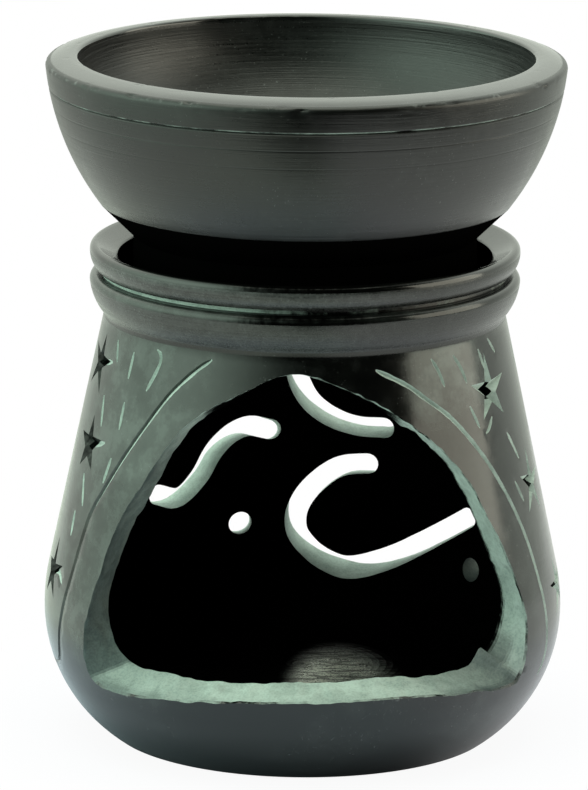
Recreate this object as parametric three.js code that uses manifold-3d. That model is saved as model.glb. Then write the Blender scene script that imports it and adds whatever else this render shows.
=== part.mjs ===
// A turned and carved soapstone oil burner: a hollow lamp body with an arched opening in front for a
// tealight, and a loose oil bowl whose foot drops into the collar on top.
// Millimetres, +Z up. The origin is the centre of the base on the table, and the front faces -Y.
// Angles go round the axis from the front, with +X at 90 degrees.

import * as THREE from 'three';
import { mergeVertices } from 'three/addons/utils/BufferGeometryUtils.js';
import Module from 'manifold-3d';

// Turning
const TURN_STEPS = 48;
const ARC_STEPS = 6;
const SHORT_ARC_STEPS = 3;
const LONG_ARC_STEPS = 10;

// Lamp body, outside
const BASE_RADIUS = 28.2;
const BELLY_RADIUS = 37.85;
const BELLY_HEIGHT = 18.5;
const BELLY_UPPER_ARC = 29;
const NECK_RADIUS = 29.2;
const NECK_HEIGHT = 61.5;

// Collar: two beads with a groove between them, and a top that falls away to the recess for the bowl
const BEAD_STANDOUT = 2;
const LOWER_BEAD_HEIGHT = 6.7;
const UPPER_BEAD_HEIGHT = 3.8;
const BEAD_GROOVE_DEPTH = 1.5;
const UPPER_BEAD_BULGE = 0.4;
const COLLAR_ROUND = 1.5;
const COLLAR_TOP_WIDTH = 1.7;
const COLLAR_TOP_DROP = 1.6;

// Lamp body, inside
const WALL = 4.5;
const FLOOR_HEIGHT = 9;
const SEAT_DEPTH = 4.4;
const SEAT_LEDGE_WIDTH = 4.1;
const SEAT_LEDGE_THICKNESS = 3;

// Fit of the bowl's foot in the collar
const FOOT_SETBACK = 3.1;
const FOOT_CLEARANCE = 0.8;
const SEAT_GAP = 0.3;

// Oil bowl, turned from stock as wide as the belly
const FOOT_HEIGHT = 6;
const UNDERCUT_HEIGHT = 4.8;
const BOWL_WALL_HEIGHT = 20.1;
const BOWL_WALL_FLARE = 7.8;
const BOWL_WALL_BULGE = 1.45;
const RIM_INSET = 0.25;
const RIM_HEIGHT = 1.2;
const RIM_BEVEL_WIDTH = 2.4;
const RIM_BEVEL_BULGE = 0.2;
const LIP_WIDTH = 1.8;
const DISH_DEPTH = 22;
const RIM_LINE_DROP = 3.4;
const RIM_LINE_WIDTH = 0.9;
const RIM_LINE_DEPTH = 0.4;

// Places on the wall are [angle in degrees, height as a share of the neck's height].

// Front arch on the outer wall. Every edge of it is cut towards one point inside.
const ARCH_OUTLINE = [
  [-53, 0.195], [-56.3, 0.252], [-55.2, 0.35], [-50.5, 0.553], [-41, 0.72], [-30.5, 0.846], [-17, 0.92],
  [-2, 0.969], [15.5, 0.915], [32, 0.818], [44.5, 0.699], [52.5, 0.553], [58, 0.398], [58.9, 0.268],
  [56, 0.192], [27, 0.221], [0, 0.221], [-28, 0.207],
];
const ARCH_STEPS = 54;
const ARCH_AIM_BEHIND_AXIS = 31;
const ARCH_AIM_SHARE = 0.62;
const ARCH_CUT_INNER_END = 8;

// Engraved line on each side of the arch
const LEFT_LINE = [
  [-25, 0.985], [-31.2, 0.959], [-45.7, 0.811], [-57, 0.654], [-63.4, 0.512], [-67.5, 0.317], [-70.8, 0.211],
];
const RIGHT_LINE = [
  [20, 0.971], [34, 0.899], [49.5, 0.769], [61.9, 0.59], [67.4, 0.441], [70, 0.268], [68.5, 0.184],
];
const LINE_RADIUS = 0.6;
const LINE_STEPS = 16;
const LINE_SIDES = 6;

// Strokes pierced through the rear wall, along their middles on the inner wall, with angles from the rear.
// Lean is how far a cut drifts sideways for each millimetre of wall.
const STROKE_WIDTH = 3.3;
const STROKES = [
  {
    lean: 0,
    path: [
      [-9.8, 0.607], [-16.1, 0.618], [-21.7, 0.6], [-26.5, 0.556], [-30.4, 0.491], [-36.1, 0.447],
      [-43.7, 0.465],
    ],
  },
  {
    lean: 0.25,
    path: [[-3.5, 0.805], [-1.3, 0.73], [2.7, 0.675], [8.9, 0.637], [16.4, 0.62], [24, 0.621]],
  },
  {
    lean: 0.25,
    path: [
      [18.3, 0.522], [11.3, 0.512], [1.3, 0.442], [-2, 0.356], [3.2, 0.278], [13.5, 0.249], [27.2, 0.298],
      [37.9, 0.358], [50, 0.423],
    ],
  },
];
const STROKE_STEPS = 18;
const REAR_DOTS = [[-16.8, 0.359], [49.4, 0.288]];
const REAR_DOT_DIAMETER = 3.6;

// Chip-carved stars on the outer wall, with a hole drilled through the middle of each
const STARS = [
  [59.2, 0.886], [75, 0.634], [81.6, 0.372], [110, 0.829], [120, 0.585], [114, 0.325],
  [-75.3, 0.91], [-70.2, 0.727], [-78.1, 0.407], [-110, 0.829], [-120, 0.585], [-116, 0.309],
];
const STAR_POINTS = 5;
const STAR_TIP_RADIUS = 4;
const STAR_NOTCH_RADIUS = 1.5;
const STAR_DEPTH = 1.6;
const STAR_STANDOFF = 0.6;
const STAR_HOLE_DIAMETER = 2.6;
const HOLE_STEPS = 8;

// How far a cut runs clear of the faces that it goes through
const CUT_OVERRUN = 6;

// Points nearer than this are one point
const MERGE_DISTANCE = 1e-4;

const BODY_BLACK = 0x2b2e2d;
const BOWL_BLACK = 0x303230;
const POLISH = 0.35;

const wasm = await Module();
wasm.setup();

function solidFrom(geometry) {
  const bare = new THREE.BufferGeometry();
  bare.setAttribute('position', geometry.getAttribute('position').clone());
  if (geometry.index) bare.setIndex(geometry.index.clone());
  const merged = mergeVertices(bare, MERGE_DISTANCE);
  return new wasm.Manifold(new wasm.Mesh({
    numProp: 3,
    vertProperties: new Float32Array(merged.getAttribute('position').array),
    triVerts: new Uint32Array(merged.index.array),
  }));
}

function geometryFrom(solid) {
  const mesh = solid.getMesh();
  const geometry = new THREE.BufferGeometry();
  geometry.setAttribute('position', new THREE.BufferAttribute(new Float32Array(mesh.vertProperties), 3));
  geometry.setIndex(new THREE.BufferAttribute(new Uint32Array(mesh.triVerts), 1));
  geometry.computeVertexNormals();
  return geometry;
}

function turned(profile) {
  const geometry = new THREE.LatheGeometry(profile, TURN_STEPS);
  geometry.rotateX(Math.PI / 2);
  return solidFrom(geometry);
}

const at = (radius, height) => new THREE.Vector2(radius, height);
const degrees = THREE.MathUtils.degToRad;

// Points on an arc about a centre, from one angle to another, in radians from the +radius direction
function arc(centre, radius, from, to, steps = ARC_STEPS) {
  return Array.from({ length: steps + 1 }, (_, i) => {
    const angle = from + (to - from) * i / steps;
    return at(centre.x + radius * Math.cos(angle), centre.y + radius * Math.sin(angle));
  });
}

// Points on the arc from start to end whose middle stands off the chord by bulge, to its right
function bulgedArc(start, end, bulge, steps = ARC_STEPS) {
  const chord = end.clone().sub(start);
  const half = chord.length() / 2;
  const radius = (half * half + bulge * bulge) / (2 * bulge);
  const outward = at(chord.y, -chord.x).normalize();
  const centre = start.clone().add(end).multiplyScalar(0.5).addScaledVector(outward, bulge - radius);
  const middle = Math.atan2(outward.y, outward.x);
  const sweep = Math.asin(half / radius);
  return arc(centre, radius, middle - sweep, middle + sweep, steps);
}

// Where the straight flank from the neck touches the belly's upper arc
const upperCentre = at(BELLY_RADIUS - BELLY_UPPER_ARC, BELLY_HEIGHT);
const neck = at(NECK_RADIUS, NECK_HEIGHT);
const toNeck = neck.clone().sub(upperCentre);
const flankAngle = Math.atan2(toNeck.y, toNeck.x) - Math.acos(BELLY_UPPER_ARC / toNeck.length());
const flankNormal = at(Math.cos(flankAngle), Math.sin(flankAngle));
const flankFoot = upperCentre.clone().addScaledVector(flankNormal, BELLY_UPPER_ARC);

// The belly's lower arc stands upright at the belly and ends on the base edge
const bellyOverhang = BELLY_RADIUS - BASE_RADIUS;
const lowerArc = (bellyOverhang ** 2 + BELLY_HEIGHT ** 2) / (2 * bellyOverhang);
const lowerCentre = at(BELLY_RADIUS - lowerArc, BELLY_HEIGHT);

// Radius of the outer wall at a height between the base and the neck
function wallRadius(height) {
  const fromBelly = height - BELLY_HEIGHT;
  if (fromBelly < 0) return lowerCentre.x + Math.sqrt(lowerArc ** 2 - fromBelly ** 2);
  if (height < flankFoot.y) return upperCentre.x + Math.sqrt(BELLY_UPPER_ARC ** 2 - fromBelly ** 2);
  return flankFoot.x - (height - flankFoot.y) * flankNormal.y / flankNormal.x;
}

// Level thickness of the wall, whose true thickness is measured square to the flank
const levelWall = WALL / flankNormal.x;

const collarRadius = NECK_RADIUS + BEAD_STANDOUT;
const collarGroove = at(collarRadius - BEAD_GROOVE_DEPTH, NECK_HEIGHT + LOWER_BEAD_HEIGHT);
const collarTop = collarGroove.y + UPPER_BEAD_HEIGHT;
const collarRim = at(collarRadius - COLLAR_ROUND, collarTop);
const recessEdge = at(collarRim.x - COLLAR_TOP_WIDTH, collarTop - COLLAR_TOP_DROP);
const footRadius = recessEdge.x - FOOT_SETBACK;
const seatHeight = collarTop - SEAT_DEPTH;
const seatRadius = footRadius + FOOT_CLEARANCE;
const mouthRadius = footRadius - SEAT_LEDGE_WIDTH;

function bodyProfile() {
  const baseAngle = Math.asin(-BELLY_HEIGHT / lowerArc);
  const lowerBead = bulgedArc(neck, collarGroove, collarRadius - (NECK_RADIUS + collarGroove.x) / 2);
  const upperCurve = arc(at(collarRim.x, collarTop - COLLAR_ROUND), COLLAR_ROUND, 0, Math.PI / 2, SHORT_ARC_STEPS);
  const upperBead = bulgedArc(collarGroove, upperCurve[0], UPPER_BEAD_BULGE, SHORT_ARC_STEPS);
  const innerNeck = neck.clone().addScaledVector(flankNormal, -WALL);
  const innerBelly = arc(upperCentre, BELLY_UPPER_ARC - WALL, flankAngle, 0, SHORT_ARC_STEPS);
  const cornerRadius = BELLY_HEIGHT - FLOOR_HEIGHT;
  const cornerCentre = at(BELLY_RADIUS - WALL - cornerRadius, BELLY_HEIGHT);
  return [
    at(0, 0),
    ...arc(lowerCentre, lowerArc, baseAngle, 0),
    ...arc(upperCentre, BELLY_UPPER_ARC, 0, flankAngle, SHORT_ARC_STEPS).slice(1),
    ...lowerBead,
    ...upperBead.slice(1, -1),
    ...upperCurve,
    recessEdge,
    at(seatRadius, seatHeight),
    at(mouthRadius, seatHeight),
    at(mouthRadius, seatHeight - SEAT_LEDGE_THICKNESS),
    innerNeck,
    ...innerBelly,
    ...arc(cornerCentre, cornerRadius, 0, -Math.PI / 2).slice(1),
    at(0, FLOOR_HEIGHT),
  ];
}

function bowlProfile() {
  const footBottom = seatHeight + SEAT_GAP;
  const footTop = at(footRadius, footBottom + FOOT_HEIGHT);
  const rimRadius = BELLY_RADIUS - RIM_INSET;
  const lowerEdge = at(rimRadius - BOWL_WALL_FLARE, footTop.y + UNDERCUT_HEIGHT);
  const rimEdge = at(rimRadius, lowerEdge.y + BOWL_WALL_HEIGHT);
  const top = rimEdge.y + RIM_HEIGHT;
  const crest = at(rimEdge.x - RIM_BEVEL_WIDTH, top);
  const lip = at(crest.x - LIP_WIDTH, top);
  const wall = bulgedArc(lowerEdge, rimEdge, BOWL_WALL_BULGE, LONG_ARC_STEPS);
  const lineHeight = rimEdge.y - RIM_LINE_DROP;
  const below = wall.filter((point) => point.y < lineHeight - RIM_LINE_WIDTH);
  const above = wall.filter((point) => point.y > lineHeight + RIM_LINE_WIDTH);
  const reach = (height) => wallAt(wall, height);
  const rimLine = [
    at(reach(lineHeight - RIM_LINE_WIDTH / 2), lineHeight - RIM_LINE_WIDTH / 2),
    at(reach(lineHeight) - RIM_LINE_DEPTH, lineHeight),
    at(reach(lineHeight + RIM_LINE_WIDTH / 2), lineHeight + RIM_LINE_WIDTH / 2),
  ];
  const dish = arc(at(0, 0), 1, 0, Math.PI / 2, LONG_ARC_STEPS).slice(1, -1).map((point) => {
    return at(lip.x * point.x, top - DISH_DEPTH * point.y);
  });
  return [
    at(0, footBottom),
    at(footRadius, footBottom),
    footTop,
    ...below,
    ...rimLine,
    ...above,
    ...bulgedArc(rimEdge, crest, RIM_BEVEL_BULGE, SHORT_ARC_STEPS).slice(1),
    lip,
    ...dish,
    at(0, top - DISH_DEPTH),
  ];
}

// Radius of a run of profile points at a height, straight between the points
function wallAt(points, height) {
  const i = points.findIndex((point) => point.y >= height);
  const low = points[i - 1];
  const high = points[i];
  return low.x + (high.x - low.x) * (height - low.y) / (high.y - low.y);
}

// A point at an angle from the front, a radius and a height
function around(angle, radius, height) {
  return new THREE.Vector3(radius * Math.sin(angle), -radius * Math.cos(angle), height);
}

const heightOf = (share) => share * NECK_HEIGHT;

function onWall([angle, share]) {
  const height = heightOf(share);
  return around(degrees(angle), wallRadius(height), height);
}

// The arch: its outline on the wall, carried along lines to the aim point, between two upright planes
function archCutter() {
  const aim = new THREE.Vector3(0, ARCH_AIM_BEHIND_AXIS, heightOf(ARCH_AIM_SHARE));
  const edge = new THREE.CatmullRomCurve3(ARCH_OUTLINE.map(onWall), true);
  const outline = edge.getPoints(ARCH_STEPS).slice(0, -1);
  const frontPlane = -(BELLY_RADIUS + CUT_OVERRUN);
  const toPlane = (point, plane) => aim.clone().lerp(point, (plane - aim.y) / (point.y - aim.y));
  const front = outline.map((point) => toPlane(point, frontPlane));
  const shape = new THREE.Shape(front.map((point) => at(point.x, point.z)));
  const geometry = new THREE.ExtrudeGeometry(shape, { depth: 1, bevelEnabled: false, steps: 1 });
  const position = geometry.getAttribute('position');
  for (let i = 0; i < position.count; i++) {
    const start = new THREE.Vector3(position.getX(i), frontPlane, position.getY(i));
    const end = toPlane(start, -ARCH_CUT_INNER_END);
    const place = position.getZ(i) > 0.5 ? start : end;
    position.setXYZ(i, place.x, place.y, place.z);
  }
  return solidFrom(geometry);
}

// A cut through the wall, square to the flank, from a flat shape laid on the inner wall round an angle
function throughWall(shape, angle, lean = 0) {
  const geometry = new THREE.ExtrudeGeometry(shape, { depth: 1, bevelEnabled: false, steps: 1 });
  const position = geometry.getAttribute('position');
  const rise = flankNormal.y / flankNormal.x;
  for (let i = 0; i < position.count; i++) {
    const height = position.getY(i);
    const inner = wallRadius(height) - levelWall;
    const depth = position.getZ(i) > 0.5 ? levelWall + CUT_OVERRUN : -CUT_OVERRUN;
    const turn = angle + (position.getX(i) + lean * depth) / inner;
    const place = around(turn, inner + depth, height + rise * depth);
    position.setXYZ(i, place.x, place.y, place.z);
  }
  return solidFrom(geometry);
}

// Outline of a stroke of even width with round ends, along a flat path
function strokeShape(path) {
  const curve = new THREE.SplineCurve(path);
  const half = STROKE_WIDTH / 2;
  const side = (sign) => Array.from({ length: STROKE_STEPS + 1 }, (_, i) => {
    const t = i / STROKE_STEPS;
    const along = curve.getTangentAt(t);
    return curve.getPointAt(t).add(at(-along.y, along.x).multiplyScalar(sign * half));
  });
  const cap = (t, sign) => {
    const along = curve.getTangentAt(t).multiplyScalar(sign);
    const turn = Math.atan2(along.y, along.x);
    return arc(curve.getPointAt(t), half, turn - Math.PI / 2, turn + Math.PI / 2).slice(1, -1);
  };
  return new THREE.Shape([...side(-1), ...cap(1, 1), ...side(1).reverse(), ...cap(0, -1)]);
}

// Strokes are laid out flat on the inner wall, unrolled from the rear, and seen from inside
function strokeCutter({ lean, path }) {
  const flat = path.map(([angle, share]) => {
    const height = heightOf(share);
    const inner = wallRadius(height) - levelWall;
    return at(-degrees(angle) * inner, height);
  });
  return throughWall(strokeShape(flat), Math.PI, -lean);
}

function holeCutter(angle, share, diameter) {
  const centre = at(0, heightOf(share));
  const shape = new THREE.Shape(arc(centre, diameter / 2, 0, 2 * Math.PI, HOLE_STEPS).slice(0, -1));
  return throughWall(shape, angle);
}

// A star cut down to a point: a pyramid on a star outline, standing on its tip in the wall
function starCutter([angle, share]) {
  const turn = degrees(angle);
  const out = around(turn, flankNormal.x, flankNormal.y);
  const across = around(turn + Math.PI / 2, 1, 0);
  const up = out.clone().cross(across);
  const centre = onWall([angle, share]);
  const spread = (STAR_DEPTH + STAR_STANDOFF) / STAR_DEPTH;
  const ring = Array.from({ length: 2 * STAR_POINTS }, (_, i) => {
    const radius = (i % 2 ? STAR_NOTCH_RADIUS : STAR_TIP_RADIUS) * spread;
    const spin = i * Math.PI / STAR_POINTS;
    return centre.clone()
      .addScaledVector(across, radius * Math.sin(spin))
      .addScaledVector(up, radius * Math.cos(spin))
      .addScaledVector(out, STAR_STANDOFF);
  });
  const tip = centre.clone().addScaledVector(out, -STAR_DEPTH);
  const lid = centre.clone().addScaledVector(out, STAR_STANDOFF);
  const corners = [];
  ring.forEach((point, i) => {
    const next = ring[(i + 1) % ring.length];
    corners.push(next, point, lid, point, next, tip);
  });
  return solidFrom(new THREE.BufferGeometry().setFromPoints(corners));
}

// A round-bottomed groove along a line on the wall
function lineCutter(line) {
  const path = new THREE.CatmullRomCurve3(line.map(onWall));
  const section = new THREE.Shape(arc(at(0, 0), LINE_RADIUS, 0, 2 * Math.PI, LINE_SIDES).slice(0, -1));
  const settings = { steps: LINE_STEPS, bevelEnabled: false, extrudePath: path };
  return solidFrom(new THREE.ExtrudeGeometry(section, settings));
}

function lampBody() {
  const cutters = [
    archCutter(),
    ...STROKES.map(strokeCutter),
    ...REAR_DOTS.map(([angle, share]) => holeCutter(Math.PI - degrees(angle), share, REAR_DOT_DIAMETER)),
    ...STARS.map(starCutter),
    ...STARS.map(([angle, share]) => holeCutter(degrees(angle), share, STAR_HOLE_DIAMETER)),
    lineCutter(LEFT_LINE),
    lineCutter(RIGHT_LINE),
  ];
  return cutters.reduce((solid, cutter) => solid.subtract(cutter), turned(bodyProfile()));
}

function named(name, solid, color) {
  const material = new THREE.MeshStandardMaterial({ color, roughness: POLISH, metalness: 0 });
  const mesh = new THREE.Mesh(geometryFrom(solid), material);
  mesh.name = name;
  return mesh;
}

const burner = new THREE.Group();
burner.add(named('lamp_body', lampBody(), BODY_BLACK));
burner.add(named('oil_bowl', turned(bowlProfile()), BOWL_BLACK));

export default burner;
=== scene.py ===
"""Turned and carved soapstone oil burner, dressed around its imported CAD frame.

Metres, +Z up, and the front with the arch faces -Y. Angles go round the axis from the front, and +X is at
90 degrees. A turned outline is a row of (radius, height) points with the stone on its left.
"""

import math
from typing import NamedTuple

import bmesh
import bpy
import numpy as np
from bpy.props import FloatProperty, FloatVectorProperty, IntProperty, PointerProperty
from mathutils import Matrix, Vector, noise
from mathutils.geometry import delaunay_2d_cdt
from mathutils.kdtree import KDTree


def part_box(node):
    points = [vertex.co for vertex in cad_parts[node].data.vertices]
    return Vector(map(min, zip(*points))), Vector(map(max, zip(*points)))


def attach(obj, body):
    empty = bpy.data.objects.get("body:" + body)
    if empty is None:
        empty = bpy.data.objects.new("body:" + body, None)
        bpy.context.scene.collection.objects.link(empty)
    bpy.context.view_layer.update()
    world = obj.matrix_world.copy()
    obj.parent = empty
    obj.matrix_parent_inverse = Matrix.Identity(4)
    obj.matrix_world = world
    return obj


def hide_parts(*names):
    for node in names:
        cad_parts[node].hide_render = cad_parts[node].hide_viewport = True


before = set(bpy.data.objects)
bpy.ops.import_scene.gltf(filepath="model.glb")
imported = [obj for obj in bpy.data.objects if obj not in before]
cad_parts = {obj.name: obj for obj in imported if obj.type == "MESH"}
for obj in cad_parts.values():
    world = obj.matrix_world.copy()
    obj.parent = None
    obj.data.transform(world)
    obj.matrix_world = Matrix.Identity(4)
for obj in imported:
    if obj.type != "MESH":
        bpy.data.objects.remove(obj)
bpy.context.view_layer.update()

bl_info = {
    "name": "Soapstone oil burner",
    "version": (1, 0, 0),
    "blender": (4, 5, 0),
    "location": "3D View > Sidebar > Oil burner",
    "description": "Builds a carved soapstone lamp body, its loose oil bowl and a studio around them",
    "category": "Object",
}

MM = 0.001
BODY_LOW, BODY_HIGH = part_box("lamp_body")
BOWL_LOW, BOWL_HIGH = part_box("oil_bowl")


class Line(NamedTuple):
    """An engraved line: sizes in millimetres, how pale its two ends are, and its path on the wall."""

    width: float
    depth: float
    pale: tuple
    path: tuple
    one_sided: bool = False


class Stroke(NamedTuple):
    """A slot through the rear wall, with its path on the inner wall and its angles from the rear.

    Climb and lean are how far the cut rises and turns for each unit outwards, at its start, middle and end.
    """

    climb: tuple
    lean: tuple
    path: tuple


# Places on the wall are (angle in degrees, height in millimetres). The arch has a place on the outer wall
# and then the place where the cut comes out on the inner wall.
ARCH = (
    (-53.0, 12.0, -46.5, 14.8), (-56.3, 15.5, -53.2, 17.0), (-55.2, 21.5, -57.6, 21.4),
    (-53.3, 27.0, -57.4, 26.5), (-50.5, 34.0, -53.8, 33.8), (-45.7, 39.7, -49.0, 38.6),
    (-41.0, 44.3, -44.8, 42.8), (-36.3, 48.3, -41.0, 46.6), (-30.5, 52.0, -34.5, 50.3),
    (-17.0, 56.6, -19.5, 55.5), (-2.0, 59.6, -2.2, 58.9), (15.5, 56.3, 17.8, 55.2),
    (25.4, 53.3, 29.0, 51.5), (32.0, 50.3, 36.3, 49.4), (38.9, 46.9, 43.0, 46.0),
    (44.5, 43.0, 48.8, 42.0), (52.5, 34.0, 56.3, 33.6), (58.0, 24.5, 61.0, 24.3),
    (58.9, 16.8, 57.0, 19.8), (58.7, 14.4, 52.2, 16.5), (57.8, 12.6, 50.0, 17.5),
    (55.6, 11.8, 46.6, 15.1), (42.2, 12.7, 37.0, 15.0), (26.3, 13.6, 22.8, 15.6),
    (6.0, 13.7, 5.5, 15.5), (-19.0, 13.15, -17.5, 14.9), (-38.7, 11.95, -34.0, 14.6),
)
LINES = (
    # The first line is one-sided: its upper side is left black as painted shade.
    Line(0.8, 0.4, (1.25, 0.0), (
        (-26.3, 60.9), (-31.2, 59.0), (-38.5, 55.2), (-45.7, 49.9), (-51.7, 45.0), (-57.0, 40.2),
        (-61.3, 36.0), (-63.4, 31.5), (-65.5, 24.7), (-67.9, 18.8), (-70.8, 13.6), (-76.0, 11.4),
        (-82.2, 11.2),
    ), one_sided=True),
    Line(0.72, 0.4, (1.0, 0.7), (
        (19.9, 59.9), (28.5, 57.5), (34.0, 55.3), (41.8, 52.0), (49.5, 47.3), (55.7, 42.5), (61.9, 36.3),
        (66.0, 30.1), (68.7, 21.6), (70.2, 14.4), (68.5, 11.3),
    )),
    # The next three short lines beside the left stars are painted highlights: pale marks where the lower
    # side of each star's right arm catches the light.
    Line(0.8, 0.2, (1.0, 0.9), ((-72.3, 56.5), (-69.5, 56.8), (-65.5, 57.2))),
    Line(0.8, 0.2, (1.0, 0.9), ((-67.2, 44.9), (-64.5, 45.4), (-61.0, 46.1))),
    Line(0.7, 0.2, (1.0, 0.9), ((-75.4, 25.2), (-72.3, 25.6), (-69.5, 24.4))),
)
# Short lines that all have the section of DASH.
DASHES = (
    ((37.5, 60.6), (39.5, 58.8), (41.1, 56.4)), ((45.7, 60.5), (48.2, 58.4), (49.7, 56.2)),
    ((57.1, 60.4), (58.9, 57.2)), ((63.3, 61.3), (66.5, 59.0)), ((49.5, 53.0), (52.2, 49.6)),
    ((64.8, 47.6), (69.3, 43.3)), ((64.3, 40.6), (67.4, 37.3)), ((-55.0, 59.8), (-55.6, 55.9)),
    ((-45.3, 61.0), (-43.6, 60.3), (-43.8, 58.7), (-47.1, 55.0)), ((-64.9, 60.5), (-62.9, 57.5)),
    ((-55.3, 52.6), (-55.6, 48.6)), ((-66.8, 52.3), (-64.9, 48.0)), ((-56.7, 44.4), (-58.4, 40.6)),
    ((-69.6, 40.6), (-66.5, 36.2)), ((-70.4, 35.0), (-69.9, 31.4)), ((85.5, 58.0), (88.0, 53.5)),
    ((94.0, 57.5), (95.5, 53.0)), ((92.0, 47.0), (94.5, 42.5)), ((-88.0, 58.0), (-90.5, 53.5)),
    ((-92.0, 47.0), (-94.0, 42.5)), ((-128.0, 58.5), (-130.5, 54.0)), ((128.0, 58.5), (130.5, 54.0)),
    ((58.4, 50.6), (56.2, 49.2), (54.4, 48.6)),
)
DASH = Line(0.62, 0.3, (1.0, 0.85), ())
# Stars: angle, height, and radius to the tips.
STARS = (
    (59.6, 54.3, 5.4), (75.0, 39.0, 4.8), (81.6, 22.9, 4.4), (110.0, 51.0, 4.8), (120.0, 36.0, 4.6),
    (114.0, 20.0, 4.4), (-75.3, 56.2, 4.8), (-70.2, 44.7, 4.8), (-78.1, 25.0, 4.6), (-110.0, 51.0, 4.8),
    (-120.0, 36.0, 4.6), (-116.0, 19.0, 4.4),
)
STROKES = (
    Stroke((-0.24, 0.1, 0.0), (0.0, 0.0, 0.0), (
        (-9.8, 37.3), (-16.1, 38.0), (-21.7, 36.9), (-26.5, 34.2), (-30.4, 30.2), (-36.1, 27.5),
        (-43.7, 28.6),
    )),
    Stroke((0.14, 0.14, 0.14), (0.15, 0.1, -0.25), (
        (-3.5, 49.5), (-1.3, 44.9), (2.7, 41.5), (8.9, 39.2), (16.4, 38.1), (24.0, 38.2),
    )),
    Stroke((-0.14, 0.19, 0.32), (0.0, 0.3, 0.0), (
        (18.3, 32.1), (11.3, 31.5), (6.2, 29.9), (1.3, 27.2), (-1.4, 24.4), (-2.0, 21.9), (-0.9, 19.7),
        (3.2, 17.1), (8.8, 15.5), (13.5, 15.3), (19.9, 16.3), (27.2, 18.3), (37.9, 22.0), (50.0, 26.0),
    )),
)
# Drilled dots: angle from the rear, height, climb, lean, and how smoky the hole is.
REAR_DOTS = ((-16.8, 22.1, -0.16, 0.14, 0.0), (49.4, 17.7, 0.2, 0.0, 0.9))
# Where the chamber floor is scraped clean: its middle and its reach each way, in millimetres.
SCRAPED_PATCH = ((5.5, -13.0), (7.8, 20.0))
# The middle of the painted shadow in the notch at the arch's lower right corner: angle and height.
NOTCH_SHADOW = (58.3, 13.6)
# How dark the stretches of the arch's reveal are: the left side has smoke and painted shade, the notch has
# a painted shadow, and the sill is darker at its ends and front edge.
ARCH_SMOKE_AND_SHADE = {
    "left": 1.0, "right": 0.14, "notch_shadow": 0.8, "sill_left": 0.3, "sill_right": 0.7, "sill_edge": 0.35,
}
# How far the black is rubbed off the sides of the wall, and off a patch high on its right. On the left,
# where the glow falls, the paler stone is also painted light.
WALL_RUBBED_AND_LIT = {"left": 0.07, "right": 0.02, "patch": 0.1}
# How far it is rubbed off the stretches of the collar, the share that the right side keeps, and the
# collar's other layers.
COLLAR_RUBBED = {"bead": 0.11, "shoulder": 0.05, "flange": 0.19}
COLLAR_KEPT = 0.75
# Painted shade: the collar's top and shoulder are painted black towards the front, under the bowl.
COLLAR_FRONT_SHADE = 0.78
COLLAR_SCRAPED = 0.6
COLLAR_SHINE = 0.45
# How bare the groove between the beads is, and how much barer it is on the left.
GROOVE_BARE = 0.44
GROOVE_BARER = 0.18
# The painted shade in a star on the left, and how bare the sides of its hole are.
STAR_SHADE = 0.6
STAR_HOLE_BARE = 0.2
# Lines turned into the bowl's wall: height, width and depth in millimetres.
TURNED_LINES = ((95.45, 0.5, 0.26), (92.9, 0.3, 0.03), (90.2, 0.3, 0.02))


def number(name, description, value, **options):
    """A number that the user may change."""
    return FloatProperty(name=name, description=description, default=value, **options)


def size(name, description, millimetres):
    """A length."""
    return number(name, description, millimetres * MM, min=0.0, unit="LENGTH", precision=4)


def angle(name, description, degrees):
    """An angle, kept in radians."""
    return number(name, description, math.radians(degrees), unit="ROTATION")


def share(name, description, value):
    """A plain number from 0 to 1."""
    return number(name, description, value, min=0.0, max=1.0, subtype="FACTOR")


def tint(name, description, colour):
    """A linear colour."""
    return FloatVectorProperty(
        name=name, description=description, default=colour, size=3, min=0.0, max=1.0, subtype="COLOR"
    )


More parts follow.
